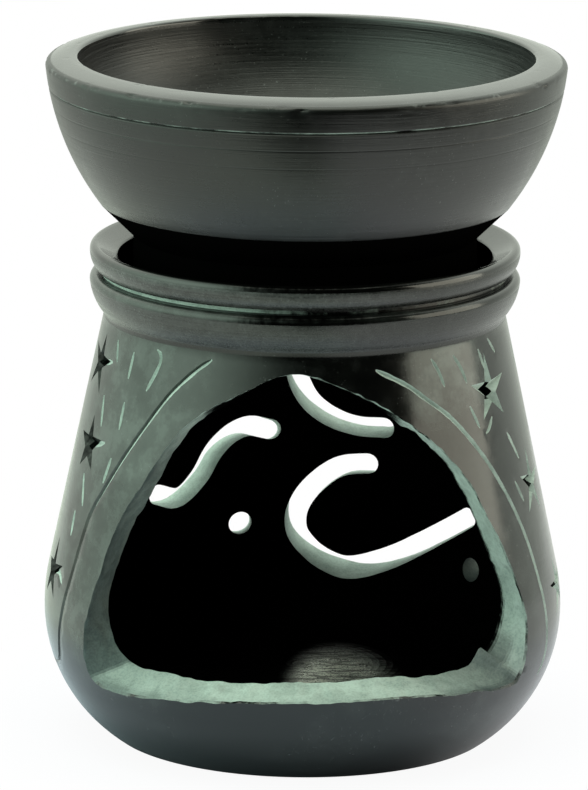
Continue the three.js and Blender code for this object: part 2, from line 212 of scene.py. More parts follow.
class LampBodySizes(bpy.types.PropertyGroup):
    """Turned sizes of the lamp body."""

    base_radius: size("Base radius", "Radius of the flat underside", 28.2)
    belly_radius: size("Belly radius", "Widest radius of the wall", BODY_HIGH.x / MM)
    belly_height: size("Belly height", "Height of the widest place", 18.5)
    belly_arc: size("Belly arc", "Radius of the arc above the belly", 29.0)
    neck_radius: size("Neck radius", "Radius under the collar", 29.2)
    neck_height: size("Neck height", "Height of the crease under the collar", 61.95)
    collar_top: size("Collar top", "Height of the solid's collar", BODY_HIGH.z / MM)
    bead_standout: size("Bead standout", "How far the beads stand out from the neck", 2.0)
    bead_foot: size("Bead foot", "Gap between the neck's crease and the lower bead", 0.75)
    bead_widest: size("Bead widest", "Height from the crease to the lower bead's widest place", 5.0)
    lower_bead: size("Lower bead", "Height from the crease to the groove between the beads", 6.25)
    crease_depth: size("Crease depth", "How far the lower bead's foot stands off the neck", 0.15)
    bead_bulge: size("Bead bulge", "How far the lower bead stands off its chord", 0.34)
    shoulder_bulge: size("Shoulder bulge", "How far the lower bead's top stands off its chord", 0.42)
    flange_bulge: size("Flange bulge", "How far the upper bead stands off its chord", 0.3)
    groove_depth: size("Groove depth", "Depth of the groove between the beads", 1.6)
    lower_lip: size("Lower lip", "How far the groove's lower side slopes in", 0.5)
    upper_lip: size("Upper lip", "How far the groove's upper side slopes in", 0.6)
    lip_height: size("Lip height", "Height of each of the groove's sloping sides", 0.1)
    groove_width: size("Groove width", "Width of the groove's flat floor", 0.55)
    collar_lift: size("Collar lift", "How far the finished crest stands above the solid's", 0.5)
    collar_round: size("Collar round", "Radius of the collar's outer crest", 0.9)
    recess_radius: size("Recess radius", "Radius at the foot of the collar's sloping top", 27.2)
    recess_depth: size("Recess depth", "Fall of the collar's sloping top", 1.8)
    wall: size("Wall", "Thickness of the wall, square to it", 4.5)
    floor_height: size("Floor height", "Height of the chamber floor", 9.0)
    seat_depth: size("Seat depth", "Depth of the bowl's seat under the crest", 4.4)
    seat_radius: size("Seat radius", "Radius of the recess that takes the bowl's foot", 25.7)
    mouth_radius: size("Mouth radius", "Radius of the mouth under the bowl", 20.8)
    ledge: size("Ledge", "Thickness of the ledge that carries the bowl", 3.0)


class CarvingSizes(bpy.types.PropertyGroup):
    """Sizes of what is cut into the lamp body."""

    arch_wander: size("Arch wander", "How far the hand-cut edge wanders", 0.22)
    edge_break: size("Edge break", "Width of the broken edge round the arch", 0.28)
    arch_grain: size("Arch grain", "Roughness of the arch's cut face", 0.22)
    star_notch: size("Star notch", "Radius of the notches between a star's arms", 1.55)
    star_depth: size("Star depth", "Depth of a star at its middle", 1.7)
    star_hole: size("Star hole", "Diameter of the hole through a star", 2.5)
    stroke_width: size("Stroke width", "Width of the strokes pierced through the rear", 3.3)
    stroke_wander: size("Stroke wander", "How far the strokes' edges wander", 0.06)
    dot_width: size("Dot width", "Diameter of the round holes through the rear", 3.6)
    hole_grain: size("Hole grain", "Roughness of the sides of holes and strokes", 0.03)


class OilBowlSizes(bpy.types.PropertyGroup):
    """Turned sizes of the oil bowl."""

    foot_bottom: size("Foot bottom", "Height of the foot's underside", BOWL_LOW.z / MM)
    foot_radius: size("Foot radius", "Radius of the foot", 24.9)
    foot_height: size("Foot height", "Height of the foot", 6.0)
    lower_radius: size("Lower radius", "Radius where the wall turns in to the foot", 29.8)
    lower_height: size("Lower height", "Height where the wall turns in to the foot", 78.7)
    wall_bulge: size("Wall bulge", "How far the wall stands off its chord", 1.45)
    rim_radius: size("Rim radius", "Radius of the rim's outer edge", BOWL_HIGH.x / MM)
    rim_height: size("Rim height", "Height where the rim's outer corner begins", 98.55)
    rim_round: size("Rim round", "Radius of the rim's outer corner", 0.8)
    top: size("Top", "Height of the rim's top", BOWL_HIGH.z / MM)
    bevel_width: size("Bevel width", "Width of the rim's sloping top, with its corner", 3.4)
    lip_width: size("Lip width", "Width of the rim's flat top", 0.8)
    lip_round: size("Lip round", "Radius of the rim's inner edge", 0.5)
    dish_depth: size("Dish depth", "Depth of the dish", 22.0)
    chip_depth: size("Chip depth", "Depth of the chips on the rim's edges", 0.5)
    chip_scale: number("Chip scale", "How close together the chips lie", 420.0, min=0.0)
    steps: IntProperty(name="Steps", description="Steps round the bowl", default=360, min=24)
    seed: IntProperty(name="Seed", description="Where the chips fall", default=4, min=0)


class StoneFinish(bpy.types.PropertyGroup):
    """Colours and polish of the stone."""

    black: tint("Black", "Blackened and polished stone", (0.0018, 0.002, 0.0019))
    cloud: tint("Cloud", "Paler clouds in the black", (0.005, 0.0058, 0.0052))
    # Also the colour of painted highlights, and of painted light on the wall's left.
    bare: tint("Bare", "Freshly cut stone", (0.50, 0.60, 0.56))
    fleck: tint("Fleck", "Darker flecks in cut stone", (0.21, 0.27, 0.25))
    scuff: tint("Scuff", "Worn edges, rubbed stone and dust", (0.235, 0.245, 0.245))
    # Also the colour of painted shade on the arch's reveal.
    stain: tint("Stain", "Smoke on the cut stone", (0.028, 0.045, 0.047))
    # Also the black of painted shade: the chamber, the recess under the bowl, the bowl's underside, the
    # collar's front and the left stars.
    soot: tint("Soot", "Soot in the chamber", (0.0012, 0.0012, 0.0012))
    sheen: tint("Sheen", "Chamber floor where it is scraped", (0.98, 1.0, 0.88))
    body_polish: share("Body polish", "Roughness of the polished body", 0.18)
    bowl_polish: share("Bowl polish", "Roughness of the polished bowl", 0.30)
    body_marks: share("Body marks", "How deep the turning marks on the body are", 0.25)
    bowl_marks: share("Bowl marks", "How deep the turning marks on the bowl are", 1.0)
    handled: share("Handled", "Roughness of the rim and of the collar's top", 0.16)
    matt: share("Matt", "Roughness of the cut stone", 0.78)
    dull: share("Dull", "Roughness of the scraped dish", 0.36)
    glaze: share("Glaze", "Roughness of the chamber's scraped floor", 0.3)


class StudioSettings(bpy.types.PropertyGroup):
    """Lights, floor and camera."""

    side_power: number("Side power", "Power of the right lamp", 4.5, min=0.0, unit="POWER")
    side_angle: angle("Side angle", "How far round to the right that lamp stands", 83.0)
    side_height: size("Side height", "Height of the right lamp", 250.0)
    side_size: size("Side lamp size", "Width and height of the right lamp", 800.0)
    top_power: number("Top power", "Power of the lamps overhead", 8.0, min=0.0, unit="POWER")
    top_mirrored: share("Top mirrored", "Share of the top power that reflections show", 0.4)
    top_size: size("Top lamp size", "Width and depth of the lamps overhead", 800.0)
    top_forward: size("Top forward", "How far in front of the axis the lamps overhead are", 100.0)
    lamp_distance: size("Lamp distance", "Distance of the lamps from the axis", 900.0)
    aim_height: size("Aim height", "Height that the lamps are aimed at", 50.0)
    left_strength: number("Left strength", "Strength of the glow on the left", 2.5, min=0.0)
    back_low: number("Back low", "Strength of the wall behind, near the ground", 0.85, min=0.0)
    back_high: number("Back high", "Strength of the wall behind, high up", 1.6, min=0.0)
    floor_radius: size("Floor radius", "Radius of the floor", 230.0)
    left_tint: tint("Left tint", "Colour of the glow on the left", (0.77, 1.0, 0.83))
    right_tint: tint("Right tint", "Colour of the right lamp", (1.0, 0.97, 0.8))
    top_tint: tint("Top tint", "Colour of the lamps overhead", (0.93, 1.0, 0.84))
    back_tint: tint("Back tint", "Colour of the wall behind", (0.93, 1.0, 0.89))
    paper_near: tint("Paper near", "Colour of the floor round the base", (0.68, 0.74, 0.9))
    paper_far: tint("Paper far", "Colour of the floor further out", (0.72, 0.74, 0.72))
    # Painted shade: the paper is this dark under the base and in front of it, where the stone reflects the
    # floor.
    paper_painted_shade: tint("Paper dark", "Colour of the floor under the base and in front", (0.04, 0.04, 0.04))
    camera_back: size("Camera back", "Distance of the camera in front of the axis", 900.0)
    camera_height: size("Camera height", "Height of the camera", 263.416)
    camera_pitch: angle("Camera pitch", "How far it looks down", 13.3636)
    camera_yaw: angle("Camera yaw", "How far it looks left", 0.0907)
    camera_roll: angle("Camera roll", "How far it leans left", 0.445)
    lens: number("Lens", "Focal length in millimetres on a sensor 36 mm tall", 289.15, min=1.0)


# Turned outlines


def arc(centre, radius, start, end, steps):
    """Points on an arc from one angle to another, in radians from the outward direction."""
    turn = np.linspace(start, end, steps + 1)
    return np.column_stack((centre[0] + radius * np.cos(turn), centre[1] + radius * np.sin(turn)))


def bulged(start, end, bulge, steps):
    """Points on the arc from start to end whose middle stands off the chord by bulge, to its right."""
    start = np.asarray(start, float)
    end = np.asarray(end, float)
    chord = end - start
    half = np.linalg.norm(chord) / 2
    radius = (half**2 + bulge**2) / (2 * bulge)
    outward = np.array((chord[1], -chord[0])) / (2 * half)
    centre = (start + end) / 2 + outward * (bulge - radius)
    middle = math.atan2(outward[1], outward[0])
    sweep = math.asin(half / radius)
    return arc(centre, radius, middle - sweep, middle + sweep, steps)


def straight(start, end, steps):
    """Points on a straight line, both ends included."""
    along = np.linspace(0.0, 1.0, steps + 1)[:, None]
    return np.asarray(start, float) * (1 - along) + np.asarray(end, float) * along


def joined(*runs):
    """Runs of points end to end, without doubled ends."""
    kept = [np.asarray(runs[0], float)]
    for run in runs[1:]:
        run = np.asarray(run, float)
        doubled = np.allclose(run[0], kept[-1][-1], atol=1e-9)
        kept.append(run[1:] if doubled else run)
    return np.concatenate(kept)


def labelled(**runs):
    """Runs joined end to end, and the name of the run that each step is on."""
    names = [np.full(len(run) - 1, name) for name, run in runs.items()]
    return joined(*runs.values()), np.concatenate(names)


class Turning:
    """A turned outline that is read by the running length along it."""

    def __init__(self, points):
        self.points = np.asarray(points, float)
        lengths = np.linalg.norm(np.diff(self.points, axis=0), axis=1)
        self.run = np.concatenate(((0.0,), np.cumsum(lengths)))
        slope = np.gradient(self.points, self.run, axis=0)
        self.normals = np.column_stack((slope[:, 1], -slope[:, 0]))
        self.normals /= np.linalg.norm(self.normals, axis=1)[:, None]

    @property
    def length(self):
        return self.run[-1]

    def read(self, run, column):
        return np.interp(run, self.run, column)

    def radius(self, run):
        return self.read(run, self.points[:, 0])

    def height(self, run):
        return self.read(run, self.points[:, 1])

    def run_at(self, height):
        """Running length at a height, on an outline that only rises or only falls."""
        order = np.argsort(self.points[:, 1])
        return np.interp(height, self.points[order, 1], self.run[order])

    def radius_at(self, height):
        return self.radius(self.run_at(height))

    def place(self, angle, run, depth=0.0):
        """Points in space, sunk into the stone by depth."""
        radius = self.radius(run) - depth * self.read(run, self.normals[:, 0])
        height = self.height(run) - depth * self.read(run, self.normals[:, 1])
        return np.column_stack((radius * np.sin(angle), -radius * np.cos(angle), height))


class BodyOutline:
    """The lamp body's turned outline, in the stretches that are cut and those that aren't."""

    def __init__(self, sizes):
        belly = np.array((sizes.belly_radius - sizes.belly_arc, sizes.belly_height))
        neck = np.array((sizes.neck_radius, sizes.neck_height))
        to_neck = neck - belly
        reach = np.linalg.norm(to_neck)
        lean = math.atan2(to_neck[1], to_neck[0]) - math.acos(sizes.belly_arc / reach)
        out = np.array((math.cos(lean), math.sin(lean)))
        overhang = sizes.belly_radius - sizes.base_radius
        lower_arc = (overhang**2 + sizes.belly_height**2) / (2 * overhang)
        lower_centre = (sizes.belly_radius - lower_arc, sizes.belly_height)
        base_turn = -math.asin(sizes.belly_height / lower_arc)
        self.rise = out[1] / out[0]
        self.outer = Turning(joined(
            arc(lower_centre, lower_arc, base_turn, 0.0, 40),
            arc(belly, sizes.belly_arc, 0.0, lean, 12),
            straight(belly + out * sizes.belly_arc, neck, 40),
        ))
        inner_neck = neck - out * sizes.wall
        corner = sizes.belly_height - sizes.floor_height
        corner_centre = (sizes.belly_radius - sizes.wall - corner, sizes.belly_height)
        self.inner = Turning(joined(
            straight(inner_neck, belly + out * (sizes.belly_arc - sizes.wall), 30),
            arc(belly, sizes.belly_arc - sizes.wall, lean, 0.0, 8),
            arc(corner_centre, corner, 0.0, -math.pi / 2, 24)[:-1],
        ))
        self.collar, self.collar_steps = self.collar_rows(sizes, neck)
        self.mouth = self.mouth_rows(sizes, self.collar[-1], inner_neck)
        self.floor_edge = self.inner.points[-1]
        self.base_edge = self.outer.points[0]

    @staticmethod
    def collar_rows(sizes, neck):
        """The collar from the neck's crease to the foot of its sloping top, and the name of each step."""
        widest = sizes.neck_radius + sizes.bead_standout
        groove = widest - sizes.groove_depth
        groove_height = sizes.neck_height + sizes.lower_bead
        top = sizes.collar_top + sizes.collar_lift
        bead_foot = (sizes.neck_radius + sizes.crease_depth, sizes.neck_height + sizes.bead_foot)
        bead_side = (widest, sizes.neck_height + sizes.bead_widest)
        bead_top = (groove + sizes.lower_lip, groove_height)
        groove_low = (groove, groove_height + sizes.lip_height)
        groove_high = (groove, groove_low[1] + sizes.groove_width)
        flange_foot = (groove + sizes.upper_lip, groove_high[1] + sizes.lip_height)
        crest = (widest - sizes.collar_round, top - sizes.collar_round)
        return labelled(
            crease=straight(neck, bead_foot, 3),
            bead=bulged(bead_foot, bead_side, sizes.bead_bulge, 18),
            shoulder=bulged(bead_side, bead_top, sizes.shoulder_bulge, 12),
            groove_side=straight(bead_top, groove_low, 2),
            groove=straight(groove_low, groove_high, 4),
            flange_side=straight(groove_high, flange_foot, 2),
            flange=bulged(flange_foot, (widest, crest[1]), sizes.flange_bulge, 12),
            crest=arc(crest, sizes.collar_round, 0.0, math.pi / 2, 12),
            slope=straight((crest[0], top), (sizes.recess_radius, top - sizes.recess_depth), 8),
        )

    @staticmethod
    def mouth_rows(sizes, recess, inner_neck):
        """Recess, seat, mouth and chamber ceiling."""
        seat = sizes.collar_top - sizes.seat_depth
        ceiling = seat - sizes.ledge
        return joined(
            straight(recess, (sizes.seat_radius, seat), 6),
            straight((sizes.seat_radius, seat), (sizes.mouth_radius, seat), 4),
            straight((sizes.mouth_radius, seat), (sizes.mouth_radius, ceiling), 4),
            straight((sizes.mouth_radius, ceiling), inner_neck, 4),
        )


# Flat layouts of the wall: x is the angle times one flat radius, and y is the running length. The wall is
# cut open at the seam. Columns are the steps round a turn, and spacing and grid are the mesh's steps along
# drawn lines and between them. A turned floor ends in a small hub. A mark counts as cut from the least
# depth on, and the wall is worn within a reach of the arch.


FLAT_RADIUS = 34.0 * MM
SEAM = math.radians(-97.0)
COLUMNS = 240
SPACING = 0.42 * MM
GRID = 1.15 * MM
HUB = 0.4 * MM
LEAST_DEPTH = 0.02 * MM
WORN_REACH = 1.2 * MM


def unrolled(turning, angles, heights):
    """Flat points for angles in radians and heights, with the angles brought past the seam."""
    turned = SEAM + np.mod(np.asarray(angles, float) - SEAM, 2 * math.pi)
    return np.column_stack((turned * FLAT_RADIUS, turning.run_at(heights)))


def rolled(turning, flat, depth=0.0):
    """Flat points back in space."""
    return turning.place(flat[:, 0] / FLAT_RADIUS, flat[:, 1], depth)


def spaced(points, step, closed=False):
    """A smooth curve through points, read at even steps along its first two columns."""
    points = np.asarray(points, float)
    count = len(points)
    if closed:
        padded = np.concatenate((points[-1:], points, points[:2]))
        pieces = count
    else:
        padded = np.concatenate((2 * points[:1] - points[1:2], points, 2 * points[-1:] - points[-2:-1]))
        pieces = count - 1
    t = np.linspace(0.0, 1.0, 24, endpoint=False)[:, None]
    fine = []
    for i in range(pieces):
        a, b, c, d = padded[i:i + 4]
        bend = 2 * a - 5 * b + 4 * c - d
        twist = 3 * b - a - 3 * c + d
        fine.append(0.5 * (2 * b + (c - a) * t + bend * t**2 + twist * t**3))
    fine.append(points[:1] if closed else points[-1:])
    fine = np.concatenate(fine)
    run = np.concatenate(((0.0,), np.cumsum(np.linalg.norm(np.diff(fine[:, :2], axis=0), axis=1))))
    steps = max(2, round(run[-1] / step))
    marks = np.linspace(0.0, run[-1], steps + 1)
    even = np.column_stack([np.interp(marks, run, column) for column in fine.T])
    return even[:-1] if closed else even


def sideways(path, closed=False):
    """Unit vectors to the left of a path."""
    if closed:
        ahead = np.roll(path, -1, axis=0) - np.roll(path, 1, axis=0)
    else:
        ahead = np.gradient(path, axis=0)
    ahead /= np.linalg.norm(ahead, axis=1)[:, None]
    return np.column_stack((-ahead[:, 1], ahead[:, 0]))


def rough(points, scale, seed):
    """Smooth noise from -1 to 1 at points, whose features are about scale across."""
    shift = Vector((seed * 7.31, seed * 3.17, seed * 5.71))
    flat = np.zeros((len(points), 3))
    flat[:, :points.shape[1]] = points / scale
    return np.array([noise.noise(Vector(p) + shift) for p in flat])


def wandering(loop, reach, seed):
    """A closed loop moved off its line as a hand-held file would leave it."""
    slow = rough(loop, 4.5 * MM, seed)
    quick = rough(loop, 1.4 * MM, seed + 1)
    return loop + sideways(loop, closed=True) * ((slow + 0.45 * quick) * reach)[:, None]


def eased(low, high, value):
    """0 at low and 1 at high, smooth between them."""
    t = np.clip((value - low) / (high - low), 0.0, 1.0)
    return t * t * (3 - 2 * t)


class Groove:
    """An engraved line of V section that tapers to its ends.

    A one-sided line has its bottom off the middle, and only its wider side, left of its path, is pale; its
    other side is left black as painted shade. The taper is as long as the line is wide, times a number, and
    starts from a share of the width.
    """

    ONE_SIDED = -0.4
    END_WIDTH = 0.35
    TAPER = 2.2
    RAGGED = 0.16

    def __init__(self, path, line, seed):
        width = line.width * MM
        self.path = spaced(path, SPACING)
        run = np.linspace(0.0, 1.0, len(self.path))
        length = SPACING * (len(self.path) - 1)
        end = np.minimum(run, 1 - run) * length
        taper = np.clip(self.END_WIDTH + end / (self.TAPER * width), 0.0, 1.0)
        ragged = 1 + self.RAGGED * rough(self.path, 1.1 * MM, seed)
        self.half = 0.5 * width * taper * ragged
        self.depth = line.depth * MM * taper
        self.pale = np.linspace(*line.pale, len(self.path))
        self.one_sided = line.one_sided
        self.sooty_and_shaded = False
        self.bottom = self.ONE_SIDED if line.one_sided else 0.0

    def lines(self):
        """The lines that the mesh has to follow: both edges, closed over the ends, and the bottom."""
        left = sideways(self.path) * self.half[:, None]
        edge = np.concatenate((self.path + left, (self.path - left)[::-1]))
        return [(edge, True), ((self.path + self.bottom * left)[1:-1], False)]

    def read(self, flat):
        """Depth and paleness at flat points."""
        depth = np.zeros(len(flat))
        pale = np.zeros(len(flat))
        low = self.path.min(0) - self.half.max()
        high = self.path.max(0) + self.half.max()
        near = np.all((flat >= low) & (flat <= high), axis=1)
        points = flat[near]
        start = self.path[:-1]
        leg = self.path[1:] - start
        along = np.clip(((points[:, None] - start) * leg).sum(2) / (leg**2).sum(1), 0.0, 1.0)
        apart = np.linalg.norm(points[:, None] - start - along[..., None] * leg, axis=2)
        nearest = apart.argmin(1) if len(points) else np.zeros(0, int)
        rows = np.arange(len(points))
        station = nearest + along[rows, nearest]
        stations = np.arange(len(self.path))
        half = np.interp(station, stations, self.half)
        deep = np.interp(station, stations, self.depth)
        offset = points - start[nearest]
        turn = leg[nearest, 0] * offset[:, 1] - leg[nearest, 1] * offset[:, 0]
        across = np.copysign(apart[rows, nearest], turn) / half
        depth[near] = deep * np.interp(across, (-1.0, self.bottom, 1.0), (0.0, 1.0, 0.0))
        # On a one-sided line the other side is left black as painted shade.
        lit = (across > self.bottom) | (not self.one_sided)
        pale[near] = np.interp(station, stations, self.pale) * lit
        return depth, pale


class Star:
    """A chip-carved star: arms of V section that fall to a hole in the middle.

    A star on the left is painted black inside as painted shade, but for the lower side of its right arm.
    """

    ARMS = 5
    PALE_SIDE = 2
    UNEVEN = 0.12

    def __init__(self, centre, tip, cuts, stretch, sooty_and_shaded, seed):
        spin = self.UNEVEN * math.sin(seed * 2.3)
        corner = np.arange(2 * self.ARMS)
        turns = spin + corner * math.pi / self.ARMS
        radii = np.where(corner % 2 == 0, tip, cuts.star_notch)
        radii = radii * (1 + self.UNEVEN * np.sin(seed * 1.7 + 2.9 * corner))
        self.centre = centre
        self.stretch = np.array((stretch, 1.0))
        self.corners = np.column_stack((radii * np.sin(turns), radii * np.cos(turns)))
        self.depth = cuts.star_depth
        self.hole = cuts.star_hole / 2
        self.sooty_and_shaded = sooty_and_shaded

    def flat(self, offsets):
        return self.centre + offsets * self.stretch

    def rim(self):
        """The hole's edge, as offsets from the middle."""
        turn = np.linspace(0.0, 2 * math.pi, 20, endpoint=False)
        return self.hole * np.column_stack((np.sin(turn), np.cos(turn)))

    def lines(self):
        outline = []
        for corner, following in zip(self.corners, np.roll(self.corners, -1, axis=0)):
            outline.append(straight(corner, following, 6)[:-1])
        valleys = []
        for tip in self.corners[::2]:
            inner = tip * (1.15 * self.hole / np.linalg.norm(tip))
            valleys.append((self.flat(straight(inner, tip, 6)[:-1]), False))
        return [(self.flat(np.concatenate(outline)), True), *valleys]

    def read(self, flat):
        """Depth and paleness at flat points."""
        depth = np.zeros(len(flat))
        pale = np.zeros(len(flat))
        offsets = (flat - self.centre) / self.stretch
        near = np.linalg.norm(offsets, axis=1) < np.linalg.norm(self.corners, axis=1).max()
        points = offsets[near]
        best = np.zeros(len(points))
        shade = np.zeros(len(points))
        for side, (a, b) in enumerate(zip(self.corners, np.roll(self.corners, -1, axis=0))):
            cross = a[0] * b[1] - a[1] * b[0]
            on_a = (points[:, 0] * b[1] - points[:, 1] * b[0]) / cross
            on_b = (a[0] * points[:, 1] - a[1] * points[:, 0]) / cross
            within = (on_a > -1e-6) & (on_b > -1e-6) & (on_a + on_b < 1)
            best[within] = np.maximum(best[within], (1 - on_a - on_b)[within])
            shade[within] = 0.0 if self.sooty_and_shaded and side != self.PALE_SIDE else 1.0
        depth[near] = best * self.depth
        pale[near] = shade
        return depth, pale


def inside(points, loop):
    """Which points lie inside a closed loop."""
    within = np.zeros(len(points), bool)
    for a, b in zip(loop, np.roll(loop, -1, axis=0)):
        if a[1] == b[1]:
            continue
        spans = (points[:, 1] < a[1]) != (points[:, 1] < b[1])
        crossing = a[0] + (points[:, 1] - a[1]) / (b[1] - a[1]) * (b[0] - a[0])
        within ^= spans & (points[:, 0] < crossing)
    return within


def distances(places, points):
    """How far each flat place is from the nearest of some flat points."""
    tree = KDTree(len(points))
    for i, point in enumerate(points):
        tree.insert((*point, 0.0), i)
    tree.balance()
    return np.array([tree.find((*place, 0.0))[2] for place in places])


def skin(turning, lines, holes, grid=GRID):
    """Flat points and triangles of one whole turn of the wall, cut open along the holes.

    The triangles follow every line, and the lower and upper edges have the same columns as the turned rows.
    """
    left = SEAM * FLAT_RADIUS
    right = left + 2 * math.pi * FLAT_RADIUS
    columns = np.linspace(left, right, COLUMNS + 1)
    rows = np.linspace(0.0, turning.length, max(2, round(turning.length / grid)) + 1)
    drawn = [(loop, True) for loop in holes] + list(lines)
    fixed = np.concatenate([points for points, _ in drawn])
    mesh = np.stack(np.meshgrid(columns, rows), -1)
    border = np.zeros(mesh.shape[:2], bool)
    border[0] = border[-1] = True
    border[:, 0] = border[:, -1] = True
    mesh = mesh.reshape(-1, 2)
    free = border.ravel() | (distances(mesh, fixed) > 0.5 * grid)
    points = [Vector(p) for p in mesh[free]]
    edges = []
    for line, closed in drawn:
        start = len(points)
        points += [Vector(p) for p in line]
        edges += [(start + i, start + i + 1) for i in range(len(line) - 1)]
        if closed:
            edges.append((start + len(line) - 1, start))
    flat, _, faces, *_ = delaunay_2d_cdt(points, edges, [], 0, 1e-8, False)
    flat = np.array([p[:] for p in flat])
    faces = np.array(faces)
    middles = flat[faces].mean(1)
    keep = np.ones(len(faces), bool)
    for loop in holes:
        near = np.all((middles > loop.min(0)) & (middles < loop.max(0)), axis=1)
        keep[near] &= ~inside(middles[near], loop)
    used, faces = np.unique(faces[keep], return_inverse=True)
    return flat[used], faces.reshape(-1, 3)


class Shell:
    """Gathers patches of a closed stone and joins them into one mesh.

    Each face has its share of every layer of the finish, and each point says how near an edge it is.
    """

    # Besides the stone's own cuts, smoke and wear, these layers also carry painted shade and painted
    # highlights.
    LAYERS = ("bare", "stain", "soot", "scraped", "rubbed", "shiny")

    def __init__(self):
        self.points = []
        self.edges = []
        self.faces = []
        self.shades = []
        self.count = 0

    def add(self, points, faces, edge=0.0, **shades):
        self.points.append(points)
        self.edges.append(np.broadcast_to(np.asarray(edge, float), len(points)))
        self.faces += [[self.count + i for i in face] for face in faces]
        columns = np.zeros((len(faces), len(self.LAYERS)))
        for name, shade in shades.items():
            columns[:, self.LAYERS.index(name)] = np.ravel(shade)
        self.shades.append(columns)
        self.count += len(points)

    def add_rows(self, rows, edge=0.0, **shades):
        """A patch of closed rows of points that have the same count. Shades are by step and by column."""
        count = rows.shape[1]
        faces = []
        for i in range(len(rows) - 1):
            for j in range(count):
                k = (j + 1) % count
                faces.append((i * count + j, i * count + k, (i + 1) * count + k, (i + 1) * count + j))
        shape = (len(rows) - 1, count)
        spread = {name: np.broadcast_to(shade, shape) for name, shade in shades.items()}
        self.add(rows.reshape(-1, 3), faces, edge, **spread)

    def mesh(self, name):
        """One closed mesh with outward faces."""
        stone = bmesh.new()
        layers = [stone.faces.layers.float.new(layer) for layer in self.LAYERS]
        edge_layer = stone.verts.layers.float.new("edge")
        verts = []
        for point, edge in zip(np.concatenate(self.points), np.concatenate(self.edges)):
            vert = stone.verts.new(point)
            vert[edge_layer] = edge
            verts.append(vert)
        for corners, shades in zip(self.faces, np.concatenate(self.shades)):
            face = stone.faces.new([verts[i] for i in corners])
            face.smooth = True
            for layer, shade in zip(layers, shades):
                face[layer] = shade
        bmesh.ops.remove_doubles(stone, verts=stone.verts, dist=1e-6)
        bmesh.ops.dissolve_degenerate(stone, dist=1e-7, edges=stone.edges)
        bmesh.ops.recalc_face_normals(stone, faces=stone.faces)
        gaps = [edge.verts[0].co / MM for edge in stone.edges if not edge.is_manifold]
        if gaps:
            raise RuntimeError(f"{name} is open at {gaps}")
        mesh = bpy.data.meshes.new(name)
        stone.to_mesh(mesh)
        stone.free()
        return mesh


def columns_of_turn():
    return SEAM + np.linspace(0.0, 2 * math.pi, COLUMNS, endpoint=False)


def turned_rows(outline):
    """Rows of points for a turned outline."""
    angles = columns_of_turn()
    around = np.column_stack((np.sin(angles), -np.cos(angles)))
    rows = np.zeros((len(outline), COLUMNS, 3))
    rows[..., :2] = outline[:, 0, None, None] * around
    rows[..., 2] = outline[:, 1, None]
    return rows


def reveal(outer, inner, steps, grain, seed):
    """Rows from an outer loop to an inner one in space, roughened between them."""
    along = np.linspace(0.0, 1.0, steps + 1)[:, None, None]
    rows = outer * (1 - along) + inner * along
    across = np.roll(rows, -1, axis=1) - np.roll(rows, 1, axis=1)
    normals = np.cross(across, inner - outer)
    normals /= np.linalg.norm(normals, axis=2)[..., None]
    points = rows.reshape(-1, 3)
    coarse = rough(points, 1.6 * MM, seed)
    fine = rough(points, 0.7 * MM, seed + 1)
    lift = (coarse + 0.5 * fine).reshape(rows.shape[:2])[..., None]
    fade = np.sin(math.pi * along) ** 0.5
    return rows + normals * (lift * grain * fade)


def cap(middle, side, end):
    """Round end of a stroke, between its two sides: 0 for its start and -1 for its last end."""
    across = side[end] * (-1 if end else 1)
    ahead = np.array((-across[1], across[0]))
    turn = np.linspace(0.0, math.pi, 10)[1:-1, None]
    return middle[end] + across * np.cos(turn) + ahead * np.sin(turn)


